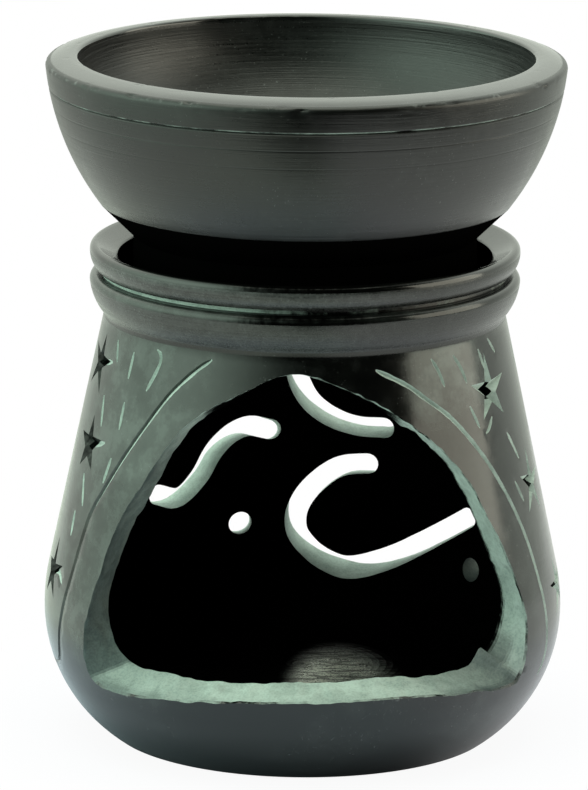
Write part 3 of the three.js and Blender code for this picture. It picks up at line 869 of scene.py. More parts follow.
class Body:
    """Cuts the lamp body's wall and joins its patches."""

    def __init__(self, sizes, cuts):
        self.outline = BodyOutline(sizes)
        self.outer = self.outline.outer
        self.inner = self.outline.inner
        self.cuts = cuts
        self.outer_holes = []
        self.inner_holes = []
        self.reveals = []
        self.marks = []

    def across_wall(self, angle, height, climb, lean):
        """Where a cut that starts on the inner wall comes out on the outer wall."""
        start = self.inner.radius_at(height)
        depth = self.outer.radius_at(height) - start
        for _ in range(8):
            depth = self.outer.radius_at(height + climb * depth) - start
        return angle + lean * depth / start, height + climb * depth

    def open_hole(self, angle, height, climb, lean, smoke=0.0):
        """A hole whose edge on the inner wall is given, cut out through the wall."""
        out_angle, out_height = self.across_wall(angle, height, climb, lean)
        outer = unrolled(self.outer, out_angle, out_height)
        inner = unrolled(self.inner, angle, height)
        self.add_hole(outer, rolled(self.outer, outer), inner, bare=1.0, stain=smoke)

    def add_hole(self, outer, start, inner, **shades):
        self.outer_holes.append(outer)
        self.inner_holes.append(inner)
        self.reveals.append((start, rolled(self.inner, inner), shades))

    def pierce_strokes(self):
        """The brush-like strokes and the dots in the rear wall."""
        half = self.cuts.stroke_width / 2
        stations = (0.0, 0.5, 1.0)
        for stroke in STROKES:
            path = np.array(stroke.path) * (-math.pi / 180, MM)
            path[:, 0] *= self.inner.radius_at(path[:, 1])
            middle = spaced(path, SPACING * 1.6)
            side = sideways(middle) * half
            head = cap(middle, side, -1)
            tail = cap(middle, side, 0)
            loop = np.concatenate((middle - side, head, (middle + side)[::-1], tail))
            loop = wandering(loop, self.cuts.stroke_wander, len(self.reveals))
            along = np.linspace(0.0, 1.0, len(middle))
            along = np.concatenate((along, np.ones(len(head)), along[::-1], np.zeros(len(tail))))
            angle = math.pi + loop[:, 0] / self.inner.radius_at(loop[:, 1])
            climb = np.interp(along, stations, stroke.climb)
            lean = np.interp(along, stations, stroke.lean)
            self.open_hole(angle, loop[:, 1], climb, -lean)
        turn = np.linspace(0.0, 2 * math.pi, 28, endpoint=False)
        radius = self.cuts.dot_width / 2
        for degrees, height, climb, lean, smoke in REAR_DOTS:
            middle = height * MM
            angle = math.pi - math.radians(degrees) + radius * np.sin(turn) / self.inner.radius_at(middle)
            self.open_hole(angle, middle + radius * np.cos(turn), climb, -lean, smoke)

    def carve_stars(self):
        for seed, (degrees, height, tip) in enumerate(STARS):
            middle = height * MM
            centre = unrolled(self.outer, [math.radians(degrees)], [middle])[0]
            radius = self.outer.radius_at(middle)
            # Stars on the left are painted black inside, as painted shade.
            star = Star(centre, tip * MM, self.cuts, FLAT_RADIUS / radius, degrees < 0, seed)
            self.marks.append(star)
            rim = star.rim()
            outer = star.flat(rim)
            inner_height = middle - self.outline.rise * (radius - self.inner.radius_at(middle)) + rim[:, 1]
            inner_angle = math.radians(degrees) + rim[:, 0] / self.inner.radius_at(inner_height)
            inner = unrolled(self.inner, inner_angle, inner_height)
            start = rolled(self.outer, outer, star.read(outer)[0])
            self.add_hole(outer, start, inner, bare=STAR_HOLE_BARE)

    def engrave_lines(self):
        lines = [*LINES, *(DASH._replace(path=path) for path in DASHES)]
        for seed, line in enumerate(lines):
            angles, heights = np.array(line.path).T
            path = unrolled(self.outer, np.radians(angles), heights * MM)
            self.marks.append(Groove(path, line, 40 + seed))

    def cut_arch(self):
        """The arch: an edge on the outer wall that is broken and chipped, and one on the inner wall."""
        angles, heights, inner_angles, inner_heights = np.array(ARCH).T
        path = np.column_stack((
            unrolled(self.outer, np.radians(angles), heights * MM),
            unrolled(self.inner, np.radians(inner_angles), inner_heights * MM),
        ))
        path = spaced(path, SPACING, closed=True)
        nominal = wandering(path[:, :2], self.cuts.arch_wander, 3)
        inner = wandering(path[:, 2:], 2.0 * self.cuts.arch_wander, 5)
        chips = np.clip(rough(nominal, 1.5 * MM, 9), 0.0, 1.0) + 0.2
        broken = nominal + sideways(nominal, closed=True) * (self.cuts.edge_break * chips)[:, None]
        self.outer_holes.append(broken)
        self.inner_holes.append(inner)
        self.arch = (nominal, broken, inner)

    def add_arch(self, shell):
        """The arch's reveal: darkened on the left with smoke and painted shade, pale on the right and on
        the sill, with a painted shadow in the notch, and blackened at the top.
        """
        nominal, broken, inner = self.arch
        start = rolled(self.outer, nominal)
        rows = reveal(start, rolled(self.inner, inner), 14, self.cuts.arch_grain, 90)
        rows[0] = rolled(self.outer, broken)
        heights = self.outer.height(nominal[:, 1]) / MM
        degrees = np.degrees(nominal[:, 0] / FLAT_RADIUS)
        inwards = np.linspace(0.0, 1.0, len(rows) - 1)[:, None]
        above_sill = eased(12.2, 14.2, heights)
        # The left reveal is darkened: smoke and painted shade.
        left = eased(-24.0, -44.0, degrees) * eased(11.9, 12.9, heights)
        fading = (1 - 0.2 * eased(25.0, 45.0, heights) * eased(0.0, 0.3, inwards)) * (1 - 0.1 * inwards)
        right = eased(40.0, 56.0, degrees) * above_sill
        # Painted shadow in the notch at the lower right corner.
        from_notch = np.hypot(degrees - NOTCH_SHADOW[0], heights - NOTCH_SHADOW[1])
        notch_shadow = eased(5.5, 1.0, from_notch) * eased(0.25, 0.55, inwards)
        sill = (
            ARCH_SMOKE_AND_SHADE["sill_left"] * eased(-25.0, -50.0, degrees)
            + ARCH_SMOKE_AND_SHADE["sill_right"] * eased(5.0, 42.0, degrees)
            + ARCH_SMOKE_AND_SHADE["sill_edge"] * eased(0.4, 0.0, inwards)
        )
        stain = np.maximum(ARCH_SMOKE_AND_SHADE["left"] * left * fading, ARCH_SMOKE_AND_SHADE["right"] * right)
        stain = np.maximum(stain, ARCH_SMOKE_AND_SHADE["notch_shadow"] * notch_shadow)
        stain = np.maximum(stain, sill * (1 - above_sill))
        top = eased(50.5, 55.5, heights) * eased(-0.05, 0.1, inwards)
        inner_edge = above_sill * eased(30.0, 45.0, degrees) * eased(0.8, 1.0, inwards)
        bare = np.ones(stain.shape)
        bare[0] = 0.5 + 0.5 * left
        shell.add_rows(rows, bare=bare, stain=stain, soot=np.maximum(top, 0.8 * inner_edge))

    def add_wall(self, shell):
        """The outer wall with its marks, and the inner wall, blackened by smoke and painted black as shade.
        """
        lines = [line for mark in self.marks for line in mark.lines()]
        flat, faces = skin(self.outer, lines, self.outer_holes)
        middles = flat[faces].mean(1)
        depth = np.max([mark.read(flat)[0] for mark in self.marks], axis=0)
        deep, pale = np.moveaxis(np.array([mark.read(middles) for mark in self.marks]), 1, 0)
        deepest = deep.argmax(0)
        every = np.arange(len(faces))
        cut = deep[deepest, every] > LEAST_DEPTH
        bare = pale[deepest, every] * cut
        # Painted shade: the cut faces of the left stars are painted black.
        sooty_and_shaded = np.array([mark.sooty_and_shaded for mark in self.marks])
        soot = STAR_SHADE * sooty_and_shaded[deepest] * cut * (bare < 0.35)
        edge = np.clip(1 - distances(flat, self.outer_holes[-1]) / WORN_REACH, 0.0, 1.0)
        degrees = np.degrees(middles[:, 0] / FLAT_RADIUS)
        heights = self.outer.height(middles[:, 1]) / MM
        # On the left, the side that the glow lights, the paler stone is partly painted light.
        left = eased(-15.0, -40.0, degrees) + eased(230.0, 260.0, degrees)
        masks = {
            "left": left * eased(9.0, 18.0, heights),
            "right": eased(28.0, 50.0, degrees) * eased(150.0, 110.0, degrees),
            "patch": eased(49.0, 56.0, heights) * eased(26.0, 36.0, degrees) * eased(66.0, 50.0, degrees),
        }
        rubbed = sum(WALL_RUBBED_AND_LIT[name] * mask for name, mask in masks.items())
        shell.add(rolled(self.outer, flat, depth), faces, edge, bare=bare, soot=soot, rubbed=rubbed)
        # The inner wall is painted black: smoke-blackening and painted shade in the chamber.
        flat, faces = skin(self.inner, [], self.inner_holes, 2 * GRID)
        shell.add(rolled(self.inner, flat), faces, soot=1.0)

    def add_turned(self, shell):
        """Collar and mouth, chamber floor and base."""
        steps = self.outline.collar_steps[:, None]
        degrees = np.mod(np.degrees(columns_of_turn()) + 180.0, 360.0) - 180.0
        # Painted shade: towards the front the collar's level stretches are painted black.
        front = eased(36.0, 8.0, np.abs(degrees))
        right = eased(5.0, 40.0, degrees) * eased(175.0, 130.0, degrees)
        top = np.isin(steps, ("crest", "slope"))
        level = top | (steps == "shoulder")
        rubbed = sum((steps == name) * amount for name, amount in COLLAR_RUBBED.items())
        shell.add_rows(
            turned_rows(self.outline.collar),
            bare=(steps == "groove") * (GROOVE_BARE + GROOVE_BARER * eased(0.0, -25.0, degrees)),
            soot=COLLAR_FRONT_SHADE * front * level,
            scraped=COLLAR_SCRAPED * ~level,
            rubbed=rubbed * (1 - COLLAR_KEPT * right),
            shiny=COLLAR_SHINE * top,
        )
        # Painted shade: the recess, seat, mouth and chamber ceiling under the bowl are painted black.
        shell.add_rows(turned_rows(self.outline.mouth), soot=1.0)
        middle, reach = np.array(SCRAPED_PATCH) * MM
        # The chamber floor is painted black as smoke and painted shade, but for its scraped patch; the base
        # is not.
        for rim, chamber in ((self.outline.floor_edge, 1.0), (self.outline.base_edge, 0.0)):
            rows = turned_rows(straight(rim, (HUB, rim[1]), 24))
            from_patch = np.linalg.norm((rows[:-1, :, :2] - middle) / reach, axis=2)
            scraped = chamber * eased(1.3, 0.5, from_patch)
            shell.add_rows(rows, soot=chamber, scraped=scraped)
            shell.add(rows[-1], [tuple(range(COLUMNS))], soot=chamber, scraped=scraped[-1, -1])

    def mesh(self):
        shell = Shell()
        self.pierce_strokes()
        self.carve_stars()
        self.engrave_lines()
        self.cut_arch()
        self.add_wall(shell)
        for seed, (outer, inner, shades) in enumerate(self.reveals):
            shell.add_rows(reveal(outer, inner, 6, self.cuts.hole_grain, 60 + seed), **shades)
        self.add_arch(shell)
        self.add_turned(shell)
        return shell.mesh("lamp_body_stone")


# Node trees


class Value:
    """A socket in a node tree. Arithmetic on it adds Math nodes."""

    def __init__(self, tree, socket):
        self.tree = tree
        self.socket = socket

    def math(self, operation, *others):
        return self.tree.add("ShaderNodeMath", {"operation": operation}, dict(enumerate((self, *others))))

    def __add__(self, other):
        return self.math("ADD", other)

    __radd__ = __add__

    def __sub__(self, other):
        return self.math("SUBTRACT", other)

    def __rsub__(self, other):
        return self.tree.add("ShaderNodeMath", {"operation": "SUBTRACT"}, {0: other, 1: self})

    def __mul__(self, other):
        return self.math("MULTIPLY", other)

    __rmul__ = __mul__

    def __truediv__(self, other):
        return self.math("DIVIDE", other)

    def __pow__(self, other):
        return self.math("POWER", other)

    def least(self, other):
        return self.math("MINIMUM", other)

    def most(self, other):
        return self.math("MAXIMUM", other)

    def ramp(self, low, high):
        """0 at low and 1 at high, smooth between them."""
        settings = {"interpolation_type": "SMOOTHSTEP"}
        return self.tree.add("ShaderNodeMapRange", settings, {0: self, 1: low, 2: high, 3: 0.0, 4: 1.0})


class Tree:
    """Adds nodes to one node tree."""

    def __init__(self, tree):
        self.tree = tree

    def add(self, kind, settings=None, inputs=None, output=0):
        """A node with its settings, then its sockets' values or links. Returns one of its outputs."""
        node = self.tree.nodes.new(kind)
        for name, value in (settings or {}).items():
            setattr(node, name, value)
        for key, value in (inputs or {}).items():
            if isinstance(value, Value):
                self.tree.links.new(value.socket, node.inputs[key])
            else:
                node.inputs[key].default_value = value
        return Value(self, node.outputs[output]) if len(node.outputs) else None

    def mix(self, factor, first, second):
        """One colour to another by a factor."""
        settings = {"data_type": "RGBA"}
        return self.add("ShaderNodeMix", settings, {0: factor, 6: first, 7: second}, output=2)

    def blend(self, factor, first, second):
        """One shader to another by a factor."""
        return self.add("ShaderNodeMixShader", None, {0: factor, 1: first, 2: second})

    def noise(self, vector, scale, detail, roughness):
        inputs = {"Vector": vector, "Scale": scale, "Detail": detail, "Roughness": roughness}
        return self.add("ShaderNodeTexNoise", None, inputs)

    def attribute(self, name):
        """A number stored on the mesh, 0 where it isn't."""
        return self.add("ShaderNodeAttribute", {"attribute_name": name}, output="Fac")

    def joined(self, x, y, z):
        return self.add("ShaderNodeCombineXYZ", None, {0: x, 1: y, 2: z})

    def split(self, vector):
        """The x, y and z of a vector."""
        node = self.add("ShaderNodeSeparateXYZ", None, {0: vector}).socket.node
        return [Value(self, socket) for socket in node.outputs]


def opaque(colour):
    return (*colour, 1.0)


def emptied(owner):
    """The node tree of a material or world, without its nodes."""
    owner.use_nodes = True
    owner.node_tree.nodes.clear()
    return Tree(owner.node_tree)


def placed(name, data):
    """A new object in the scene."""
    piece = bpy.data.objects.new(name, data)
    bpy.context.scene.collection.objects.link(piece)
    return piece


# What every stone shares: the angle from which an edge is sharp, and the shader's fixed values.
SHARP_ANGLE = math.radians(38.0)
STONE_IOR = 1.58
BUMP_STRENGTH = 0.35
BUMP_HEIGHT = 0.12 * MM
COAT = 0.6


def stone_material(name, finish, polish, turning_marks):
    """Blackened, polished soapstone: pale and matt where it is cut and where highlights are painted, and
    dead black where smoke has blackened it and where shade is painted.
    """
    material = bpy.data.materials.new(name)
    tree = emptied(material)
    place = tree.add("ShaderNodeTexCoord", output="Object")
    x, y, z = tree.split(place)
    radius = (x * x + y * y) ** 0.5
    bare, stain, soot, scraped, rubbed, shiny, edge = map(tree.attribute, (*Shell.LAYERS, "edge"))

    rings = tree.noise(tree.joined(x * 40.0, y * 40.0, (z + radius) * 2600.0), 1.0, 3.0, 0.6)
    fine_rings = tree.noise(tree.joined(x * 120.0, y * 120.0, (z + radius) * 6500.0), 1.0, 2.0, 0.6)
    clouds = tree.noise(place, 55.0, 5.0, 0.6)
    patches = tree.noise(place, 260.0, 4.0, 0.65)
    grain = tree.noise(place, 900.0, 3.0, 0.6)
    specks = tree.noise(place, 3200.0, 2.0, 0.5)
    brushed = tree.noise(tree.joined(x * 250.0, y * 900.0, z * 900.0), 1.0, 3.0, 0.6)

    # Black where smoke has blackened the stone and where shade is painted, made ragged by noise.
    sooty_and_shaded = (soot + (grain - 0.5) * 0.5 + (rings - 0.5) * 0.4).ramp(0.25, 0.85)
    blackened = tree.mix(clouds.ramp(0.42, 0.72), opaque(finish.black), opaque(finish.cloud))
    smudges = patches.ramp(0.48, 0.68) * clouds.ramp(0.4, 0.6) * 0.035
    dust = specks.ramp(0.67, 0.76) * clouds.ramp(0.42, 0.62) * 0.4 + smudges
    worn = edge.ramp(0.5, 1.0) * grain.ramp(0.52, 0.66) * clouds.ramp(0.46, 0.6) * 0.4
    scratched = scraped * rings.ramp(0.45, 0.7) * specks.ramp(0.3, 0.6) * 0.04
    streaky = rings.ramp(0.3, 0.7) * 0.4 + grain.ramp(0.35, 0.65) * 0.4 + specks.ramp(0.55, 0.7) * 0.6
    mottled = 0.3 + 0.7 * clouds.ramp(0.4, 0.62) + 0.7 * patches.ramp(0.42, 0.62)
    # Paler where the black is rubbed off, and on the wall's left also painted light.
    rubbed = rubbed * (mottled + scraped * (2.0 * streaky - mottled))
    blackened = tree.mix(dust.most(worn).most(scratched), blackened, opaque(finish.scuff))
    thin = tree.mix(scraped.ramp(0.0, 0.5), opaque(finish.bare), opaque(finish.scuff))
    blackened = tree.mix(rubbed, blackened, thin)
    flecked = clouds.ramp(0.35, 0.65) * 0.25 + patches.ramp(0.4, 0.65) * 0.4
    flecked = flecked + specks.ramp(0.42, 0.68) * 0.25
    cut = tree.mix(flecked, opaque(finish.bare), opaque(finish.fleck))
    smoke = 0.89 + 0.08 * patches.ramp(0.4, 0.6) + 0.03 * specks.ramp(0.4, 0.6)
    cut = tree.mix(stain * smoke, cut, opaque(finish.stain))
    shown = (bare + (patches - 0.5) * 0.6).ramp(0.42, 0.58)
    colour = tree.mix(shown, blackened, cut)
    glazed = soot * scraped
    colour = tree.mix(glazed, colour, opaque(finish.sheen))

    polish = polish + (clouds - 0.5) * 0.2 + (rings - 0.5) * 0.1 + (patches - 0.5) * 0.16
    dull = finish.dull + (rings - 0.5) * 0.4 + (specks - 0.5) * 0.25
    polish = polish + scraped * (dull - polish) + glazed * (finish.glaze - dull)
    polish = polish + shiny * (finish.handled - polish)
    rough_value = polish + shown * (finish.matt - polish)
    ridges = rings * (0.6 * turning_marks) + fine_rings * (0.4 * turning_marks)
    scratches = rings * 0.45 * (1.0 - glazed) + specks * (0.35 + 0.35 * glazed)
    ridges = ridges * (1.0 - shiny) + scratches * scraped
    relief = ridges * (1.0 - shown) + (grain * 0.8 + patches * 1.6) * shown + grain * 0.22 + patches * 0.3
    bump = {"Strength": BUMP_STRENGTH, "Distance": BUMP_HEIGHT, "Height": relief}
    stone = tree.add("ShaderNodeBsdfPrincipled", None, {
        "Base Color": colour,
        "Roughness": rough_value,
        "Metallic": glazed,
        "IOR": STONE_IOR,
        "Coat Weight": shiny * COAT,
        "Normal": tree.add("ShaderNodeBump", None, bump),
    })
    streaks = glazed * (0.35 + 0.65 * brushed.ramp(0.4, 0.55)) * specks.ramp(0.3, 0.5)
    black = tree.add("ShaderNodeBsdfDiffuse", None, {"Color": opaque(finish.soot)})
    surface = tree.blend(sooty_and_shaded * (1.0 - streaks), stone, black)
    tree.add("ShaderNodeOutputMaterial", None, {"Surface": surface})
    return material


def finished(mesh, name, material, body, node):
    """A finished piece that rides on its body and stands for its CAD node."""
    mesh.name = name
    mesh.set_sharp_from_angle(angle=SHARP_ANGLE)
    piece = placed(name, mesh)
    mesh.materials.clear()
    mesh.materials.append(material)
    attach(piece, body)
    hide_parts(node)


# The bowl. The rim's outer corner turns by less than a right angle into a bevel that bulges a little. Wear
# reaches some way from the corner, the crest and the lip, with a weight for each.


RIM_TURN = math.radians(80.0)
BEVEL_BULGE = 0.12 * MM
EDGE_REACH = 1.1 * MM
EDGE_WEAR = (1.0, 0.35, 0.3)


def bowl_outline(sizes):
    """The bowl's outline from the middle of its foot round to the middle of the dish, and its finish."""
    foot_top = (sizes.foot_radius, sizes.foot_bottom + sizes.foot_height)
    lower = (sizes.lower_radius, sizes.lower_height)
    rim = (sizes.rim_radius, sizes.rim_height)
    corner = arc((rim[0] - sizes.rim_round, rim[1]), sizes.rim_round, 0.0, RIM_TURN, 8)
    crest = (rim[0] - sizes.bevel_width, sizes.top)
    lip = (crest[0] - sizes.lip_width, sizes.top)
    smooth_wall = Turning(bulged(lower, rim, sizes.wall_bulge, 400))
    runs = [np.linspace(0.0, smooth_wall.length, 71)]
    for height, width, _ in TURNED_LINES:
        runs.append(smooth_wall.run_at(height * MM) + width * MM * np.linspace(-0.6, 0.6, 9))
    run = np.unique(np.concatenate(runs))
    wall = np.column_stack((smooth_wall.radius(run), smooth_wall.height(run)))
    for height, width, depth in TURNED_LINES:
        apart = np.abs(wall[:, 1] - height * MM) / (0.5 * width * MM)
        wall[:, 0] -= depth * MM * np.clip(1 - apart, 0.0, 1.0)
    lip_round = sizes.lip_round
    turn = np.linspace(0.0, math.pi / 2, 60)
    dish = np.column_stack((
        (lip[0] - lip_round) * np.cos(turn),
        sizes.top - lip_round - (sizes.dish_depth - lip_round) * np.sin(turn),
    ))
    dish[-1, 0] = 0.0
    outline, steps = labelled(
        underside=straight((0.0, sizes.foot_bottom), (sizes.foot_radius, sizes.foot_bottom), 10),
        foot=straight((sizes.foot_radius, sizes.foot_bottom), foot_top, 6),
        shelf=straight(foot_top, lower, 10),
        wall=wall,
        corner=corner,
        bevel=bulged(corner[-1], crest, BEVEL_BULGE, 12),
        lip=straight(crest, lip, 6),
        lip_round=arc((lip[0], sizes.top - lip_round), lip_round, math.pi / 2, math.pi, 6),
        dish=dish,
    )
    steps = np.append(steps[:1], steps)
    corners = np.array((corner[4], crest, lip))
    apart = np.linalg.norm(outline[:, None] - corners, axis=2)
    edge = np.clip(1 - apart / EDGE_REACH, 0.0, 1.0) * EDGE_WEAR
    # Painted highlight: the upper half of the first turned line is painted pale.
    line_height, line_width, _ = np.array(TURNED_LINES[0]) * MM
    above_line = outline[:, 1] - line_height
    lit = (above_line > 0.0) & (above_line < 0.5 * line_width) & (steps == "wall")
    return outline, {
        "edge": edge.max(1),
        "bare": 0.5 * lit,
        # Painted shade: the underside, foot and shelf, in the gap over the collar, are painted black.
        "soot": 1.0 * np.isin(steps, ("underside", "foot", "shelf")),
        "scraped": 1.0 * (steps == "dish"),
        "shiny": 1.0 * np.isin(steps, ("bevel", "lip", "lip_round")),
    }


def turning_tree():
    """Geometry nodes that turn a row of points round the axis and chip its edges."""
    group = bpy.data.node_groups.new("turned_stone", "GeometryNodeTree")
    sockets = {
        "Outline": "Geometry", "Steps": "Int", "Chip depth": "Float", "Chip scale": "Float",
        "Seed": "Float", "Stone": "Material",
    }
    for name, kind in sockets.items():
        group.interface.new_socket(name, in_out="INPUT", socket_type=f"NodeSocket{kind}")
    group.interface.new_socket("Bowl", in_out="OUTPUT", socket_type="NodeSocketGeometry")
    tree = Tree(group)
    outline = tree.add("NodeGroupInput", output="Outline")
    given = outline.socket.node.outputs

    def value(name):
        return Value(tree, given[name])

    count = tree.add("GeometryNodeAttributeDomainSize", {"component": "MESH"}, {0: outline}, "Point Count")
    sheet = {"Vertices X": value("Steps") + 1.0, "Vertices Y": count, "Size X": 1.0, "Size Y": 1.0}
    grid = tree.add("GeometryNodeMeshGrid", None, sheet, "Mesh")
    u, v, _ = tree.split(tree.add("GeometryNodeInputPosition"))
    turn = (u + 0.5) * (2 * math.pi)
    row = ((v + 0.5) * (count - 1.0)).math("ROUND")

    def read(kind, field):
        """A field of the outline, at this point's row."""
        inputs = {"Geometry": outline, "Value": field, "Index": row}
        return tree.add("GeometryNodeSampleIndex", {"data_type": kind}, inputs)

    radius, _, height = tree.split(read("FLOAT_VECTOR", tree.add("GeometryNodeInputPosition")))
    turned = tree.joined(radius * turn.math("SINE"), radius * turn.math("COSINE") * -1.0, height)
    for name in ("edge", "bare", "soot", "scraped", "shiny"):
        field = tree.add("GeometryNodeInputNamedAttribute", {"data_type": "FLOAT"}, {"Name": name})
        grid = tree.add(
            "GeometryNodeStoreNamedAttribute", {"data_type": "FLOAT", "domain": "POINT"},
            {"Geometry": grid, "Name": name, "Value": read("FLOAT", field)},
        )
    shaped = tree.add("GeometryNodeSetPosition", None, {"Geometry": grid, "Position": turned})
    closed = tree.add("GeometryNodeMergeByDistance", None, {"Geometry": shaped, "Distance": 0.001 * MM})
    chips = tree.add(
        "ShaderNodeTexNoise", {"noise_dimensions": "4D"},
        {"W": value("Seed"), "Scale": value("Chip scale"), "Detail": 3.0, "Roughness": 0.6},
    )
    worn = tree.add("GeometryNodeInputNamedAttribute", {"data_type": "FLOAT"}, {"Name": "edge"})
    depth = chips.ramp(0.58, 0.72) * worn * value("Chip depth")
    normal = tree.add("GeometryNodeInputNormal")
    sink = tree.add("ShaderNodeVectorMath", {"operation": "SCALE"}, {0: normal, "Scale": depth * -1.0})
    chipped = tree.add("GeometryNodeSetPosition", None, {"Geometry": closed, "Offset": sink})
    smooth = tree.add("GeometryNodeSetShadeSmooth", None, {"Geometry": chipped})
    real = tree.add("GeometryNodeRealizeInstances", None, {0: smooth})
    done = tree.add("GeometryNodeSetMaterial", None, {"Geometry": real, "Material": value("Stone")})
    tree.add("NodeGroupOutput", None, {0: done})
    return group


def evaluated_mesh(holder, group, inputs):
    """Runs a geometry node group on an object and returns the plain mesh that it makes."""
    modifier = holder.modifiers.new("turned", "NODES")
    modifier.node_group = group
    for item in group.interface.items_tree:
        if item.in_out == "INPUT" and item.name in inputs:
            modifier[item.identifier] = inputs[item.name]
    bpy.context.view_layer.update()
    graph = bpy.context.evaluated_depsgraph_get()
    mesh = bpy.data.meshes.new_from_object(holder.evaluated_get(graph))
    bpy.data.objects.remove(holder)
    return mesh


# Operators


class BURNER_OT_lamp_body(bpy.types.Operator):
    """Turn and carve the lamp body"""

    bl_idname = "burner.lamp_body"
    bl_label = "Lamp body"

    def execute(self, context):
        scene = context.scene
        mesh = Body(scene.burner_body, scene.burner_cuts).mesh()
        finish = scene.burner_stone
        stone = stone_material("body_stone", finish, finish.body_polish, finish.body_marks)
        finished(mesh, "lamp_body_stone", stone, "lamp_body", "lamp_body")
        return {"FINISHED"}


class BURNER_OT_oil_bowl(bpy.types.Operator):
    """Turn the oil bowl"""

    bl_idname = "burner.oil_bowl"
    bl_label = "Oil bowl"

    def execute(self, context):
        scene = context.scene
        sizes = scene.burner_bowl
        outline, shades = bowl_outline(sizes)
        row = bpy.data.meshes.new("bowl_outline")
        points = [(radius, 0.0, height) for radius, height in outline]
        row.from_pydata(points, [(i, i + 1) for i in range(len(points) - 1)], [])
        for name, values in shades.items():
            row.attributes.new(name, "FLOAT", "POINT").data.foreach_set("value", values)
        holder = placed("bowl_outline", row)
        finish = scene.burner_stone
        stone = stone_material("bowl_stone", finish, finish.bowl_polish, finish.bowl_marks)
        mesh = evaluated_mesh(holder, turning_tree(), {
            "Steps": sizes.steps,
            "Chip depth": sizes.chip_depth,
            "Chip scale": sizes.chip_scale,
            "Seed": float(sizes.seed),
            "Stone": stone,
        })
        finished(mesh, "oil_bowl_stone", stone, "oil_bowl", "oil_bowl")
        return {"FINISHED"}


# The studio. The glow on the left has a direction, and numbers for how squarely another direction faces it
# at its edge and at its full. The camera's sensor is in millimetres.


GLOW_AIM = (-1.0, -0.33, 0.36)
GLOW_EDGE = 0.34
GLOW_FULL = 0.98
WHITE = (1.0, 1.0, 1.0, 1.0)
SENSOR = 36.0


class BURNER_OT_studio(bpy.types.Operator):
    """Set the floor, the lamps, the surroundings and the camera"""

    bl_idname = "burner.studio"
    bl_label = "Studio"

    def execute(self, context):
        studio = context.scene.burner_studio
        add_floor(studio)
        add_lamps(studio)
        add_surroundings(context.scene, studio)
        add_camera(context.scene, studio)
        context.scene.view_settings.view_transform = "Standard"
        return {"FINISHED"}


def add_floor(studio):
    """A disc of pale paper that the camera sees as white, but for a trace of shade near the base. The paper
    itself is painted dark under the base and in front of it, as painted shade that the stone reflects, and
    glows at its sides as painted light.
    """
    mesh = bpy.data.meshes.new("floor")
    disc = bmesh.new()
    bmesh.ops.create_circle(disc, cap_ends=True, segments=96, radius=studio.floor_radius)
    disc.to_mesh(mesh)
    disc.free()
    floor = placed("floor", mesh)
    material = bpy.data.materials.new("floor_paper")
    tree = emptied(material)
    place = tree.add("ShaderNodeTexCoord", output="Object")
    x, y, _ = tree.split(place)
    radius = tree.add("ShaderNodeVectorMath", {"operation": "LENGTH"}, {0: place}, "Value")
    seen = tree.add("ShaderNodeLightPath", output="Is Camera Ray")
    # Painted light: for every ray but the camera's, the paper glows at its sides, though it is no lamp.
    painted_side_glow = 0.6 * x.ramp(0.012, 0.045) + 0.12 * x.ramp(-0.025, -0.06) + 0.3 * x.ramp(-0.07, -0.12)
    white = seen * (0.94 + 0.06 * radius.ramp(0.036, 0.06)) + (1.0 - seen) * painted_side_glow
    # Painted shade: the paper is dark in front of the base and under it, and pale further out.
    lit = (y + x.math("ABSOLUTE")).ramp(-0.16, -0.06) * radius.ramp(0.02, 0.037)
    paper = tree.mix(radius.ramp(0.045, 0.1), opaque(studio.paper_near), opaque(studio.paper_far))
    paper = tree.mix(lit, opaque(studio.paper_painted_shade), paper)
    paper = tree.add("ShaderNodeBsdfDiffuse", None, {"Color": paper})
    glow = tree.add("ShaderNodeEmission", None, {"Color": WHITE, "Strength": 1.0})
    surface = tree.blend(white, paper, glow)
    tree.add("ShaderNodeOutputMaterial", None, {"Surface": surface})
    mesh.materials.append(material)


def add_lamp(name, place, aim, power, width, colour):
    """A square soft lamp that looks at a point."""
    light = bpy.data.lights.new(name, "AREA")
    light.energy = power
    light.size = width
    light.color = colour
    lamp = placed(name, light)
    lamp.location = place
    lamp.rotation_euler = (Vector(aim) - Vector(place)).to_track_quat("-Z", "Y").to_euler()
    lamp.visible_camera = False
    return lamp


def add_lamps(studio):
    """Soft lamps on the right and overhead, where reflections show only part of the light."""
    reach = studio.lamp_distance
    aim = (0.0, 0.0, studio.aim_height)
    right = (reach * math.sin(studio.side_angle), -reach * math.cos(studio.side_angle), studio.side_height)
    add_lamp("right_lamp", right, aim, studio.side_power, studio.side_size, studio.right_tint)
    top = (0.0, -studio.top_forward, reach)
    mirrored = studio.top_mirrored * studio.top_power
    add_lamp("top_lamp", top, aim, mirrored, studio.top_size, studio.top_tint)
    fill = add_lamp("fill_lamp", top, aim, studio.top_power - mirrored, studio.top_size, studio.top_tint)
    fill.visible_glossy = False


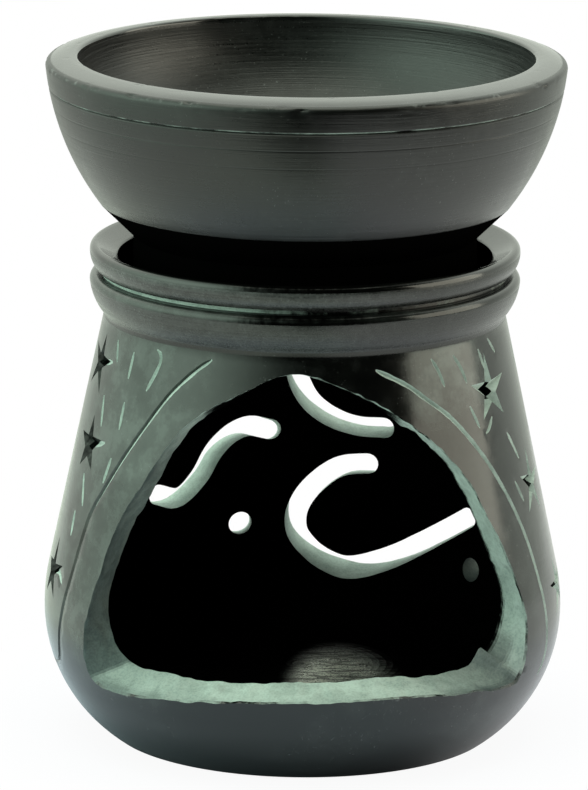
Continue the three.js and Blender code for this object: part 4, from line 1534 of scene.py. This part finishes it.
def add_surroundings(scene, studio):
    """Pale behind, dark in front, where the camera stands, and a soft glow on the left.

    The camera itself sees white.
    """
    world = bpy.data.worlds.new("studio_walls")
    tree = emptied(world)
    away = tree.add("ShaderNodeTexCoord", output="Generated")
    _, back, up = tree.split(away)
    seen = tree.add("ShaderNodeLightPath", output="Is Camera Ray")
    strength = studio.back_low + up.ramp(0.15, 0.65) * (studio.back_high - studio.back_low)

    def light(colour, strength):
        return tree.add("ShaderNodeBackground", None, {"Color": colour, "Strength": strength})

    facing = {0: away, 1: Vector(GLOW_AIM).normalized()}
    facing = tree.add("ShaderNodeVectorMath", {"operation": "DOT_PRODUCT"}, facing, "Value")
    glow = ((facing - GLOW_EDGE) / (GLOW_FULL - GLOW_EDGE)).most(0.0).least(1.0)
    dark = light(WHITE, 0.0)
    pale = light(opaque(studio.back_tint), strength)
    left = light(opaque(studio.left_tint), studio.left_strength)
    walls = tree.blend(back.ramp(-0.25, 0.5), dark, pale)
    walls = tree.blend(glow * glow, walls, left)
    shown = tree.blend(seen, walls, light(WHITE, 1.0))
    tree.add("ShaderNodeOutputWorld", None, {"Surface": shown})
    scene.world = world


def add_camera(scene, studio):
    """The photograph's camera: pitch, then yaw and roll about its own axes."""
    data = bpy.data.cameras.new("camera")
    data.lens = studio.lens
    data.sensor_width = SENSOR
    camera = placed("camera", data)
    level = Matrix.Rotation(math.pi / 2 - studio.camera_pitch, 4, "X")
    yaw = Matrix.Rotation(studio.camera_yaw, 4, "Y")
    roll = Matrix.Rotation(studio.camera_roll, 4, "Z")
    place = Matrix.Translation((0.0, -studio.camera_back, studio.camera_height))
    camera.matrix_world = place @ level @ yaw @ roll
    scene.camera = camera


class BURNER_PT_panel(bpy.types.Panel):
    """Sizes and tools of the oil burner"""

    bl_label = "Oil burner"
    bl_idname = "BURNER_PT_panel"
    bl_space_type = "VIEW_3D"
    bl_region_type = "UI"
    bl_category = "Oil burner"

    def draw(self, context):
        for operator in OPERATORS:
            self.layout.operator(operator.bl_idname)
        for name in SETTINGS:
            settings = getattr(context.scene, name)
            box = self.layout.box()
            box.label(text=settings.bl_rna.name)
            for key in settings.__annotations__:
                box.prop(settings, key)


SETTINGS = {
    "burner_body": LampBodySizes,
    "burner_cuts": CarvingSizes,
    "burner_bowl": OilBowlSizes,
    "burner_stone": StoneFinish,
    "burner_studio": StudioSettings,
}
OPERATORS = (BURNER_OT_lamp_body, BURNER_OT_oil_bowl, BURNER_OT_studio)


def register():
    for kind in (*SETTINGS.values(), *OPERATORS, BURNER_PT_panel):
        bpy.utils.register_class(kind)
    for name, kind in SETTINGS.items():
        setattr(bpy.types.Scene, name, PointerProperty(type=kind))


def unregister():
    for name in SETTINGS:
        delattr(bpy.types.Scene, name)
    for kind in (BURNER_PT_panel, *OPERATORS, *SETTINGS.values()):
        bpy.utils.unregister_class(kind)


def main():
    register()
    bpy.ops.burner.lamp_body()
    bpy.ops.burner.oil_bowl()
    bpy.ops.burner.studio()


if __name__ == "__main__":
    main()
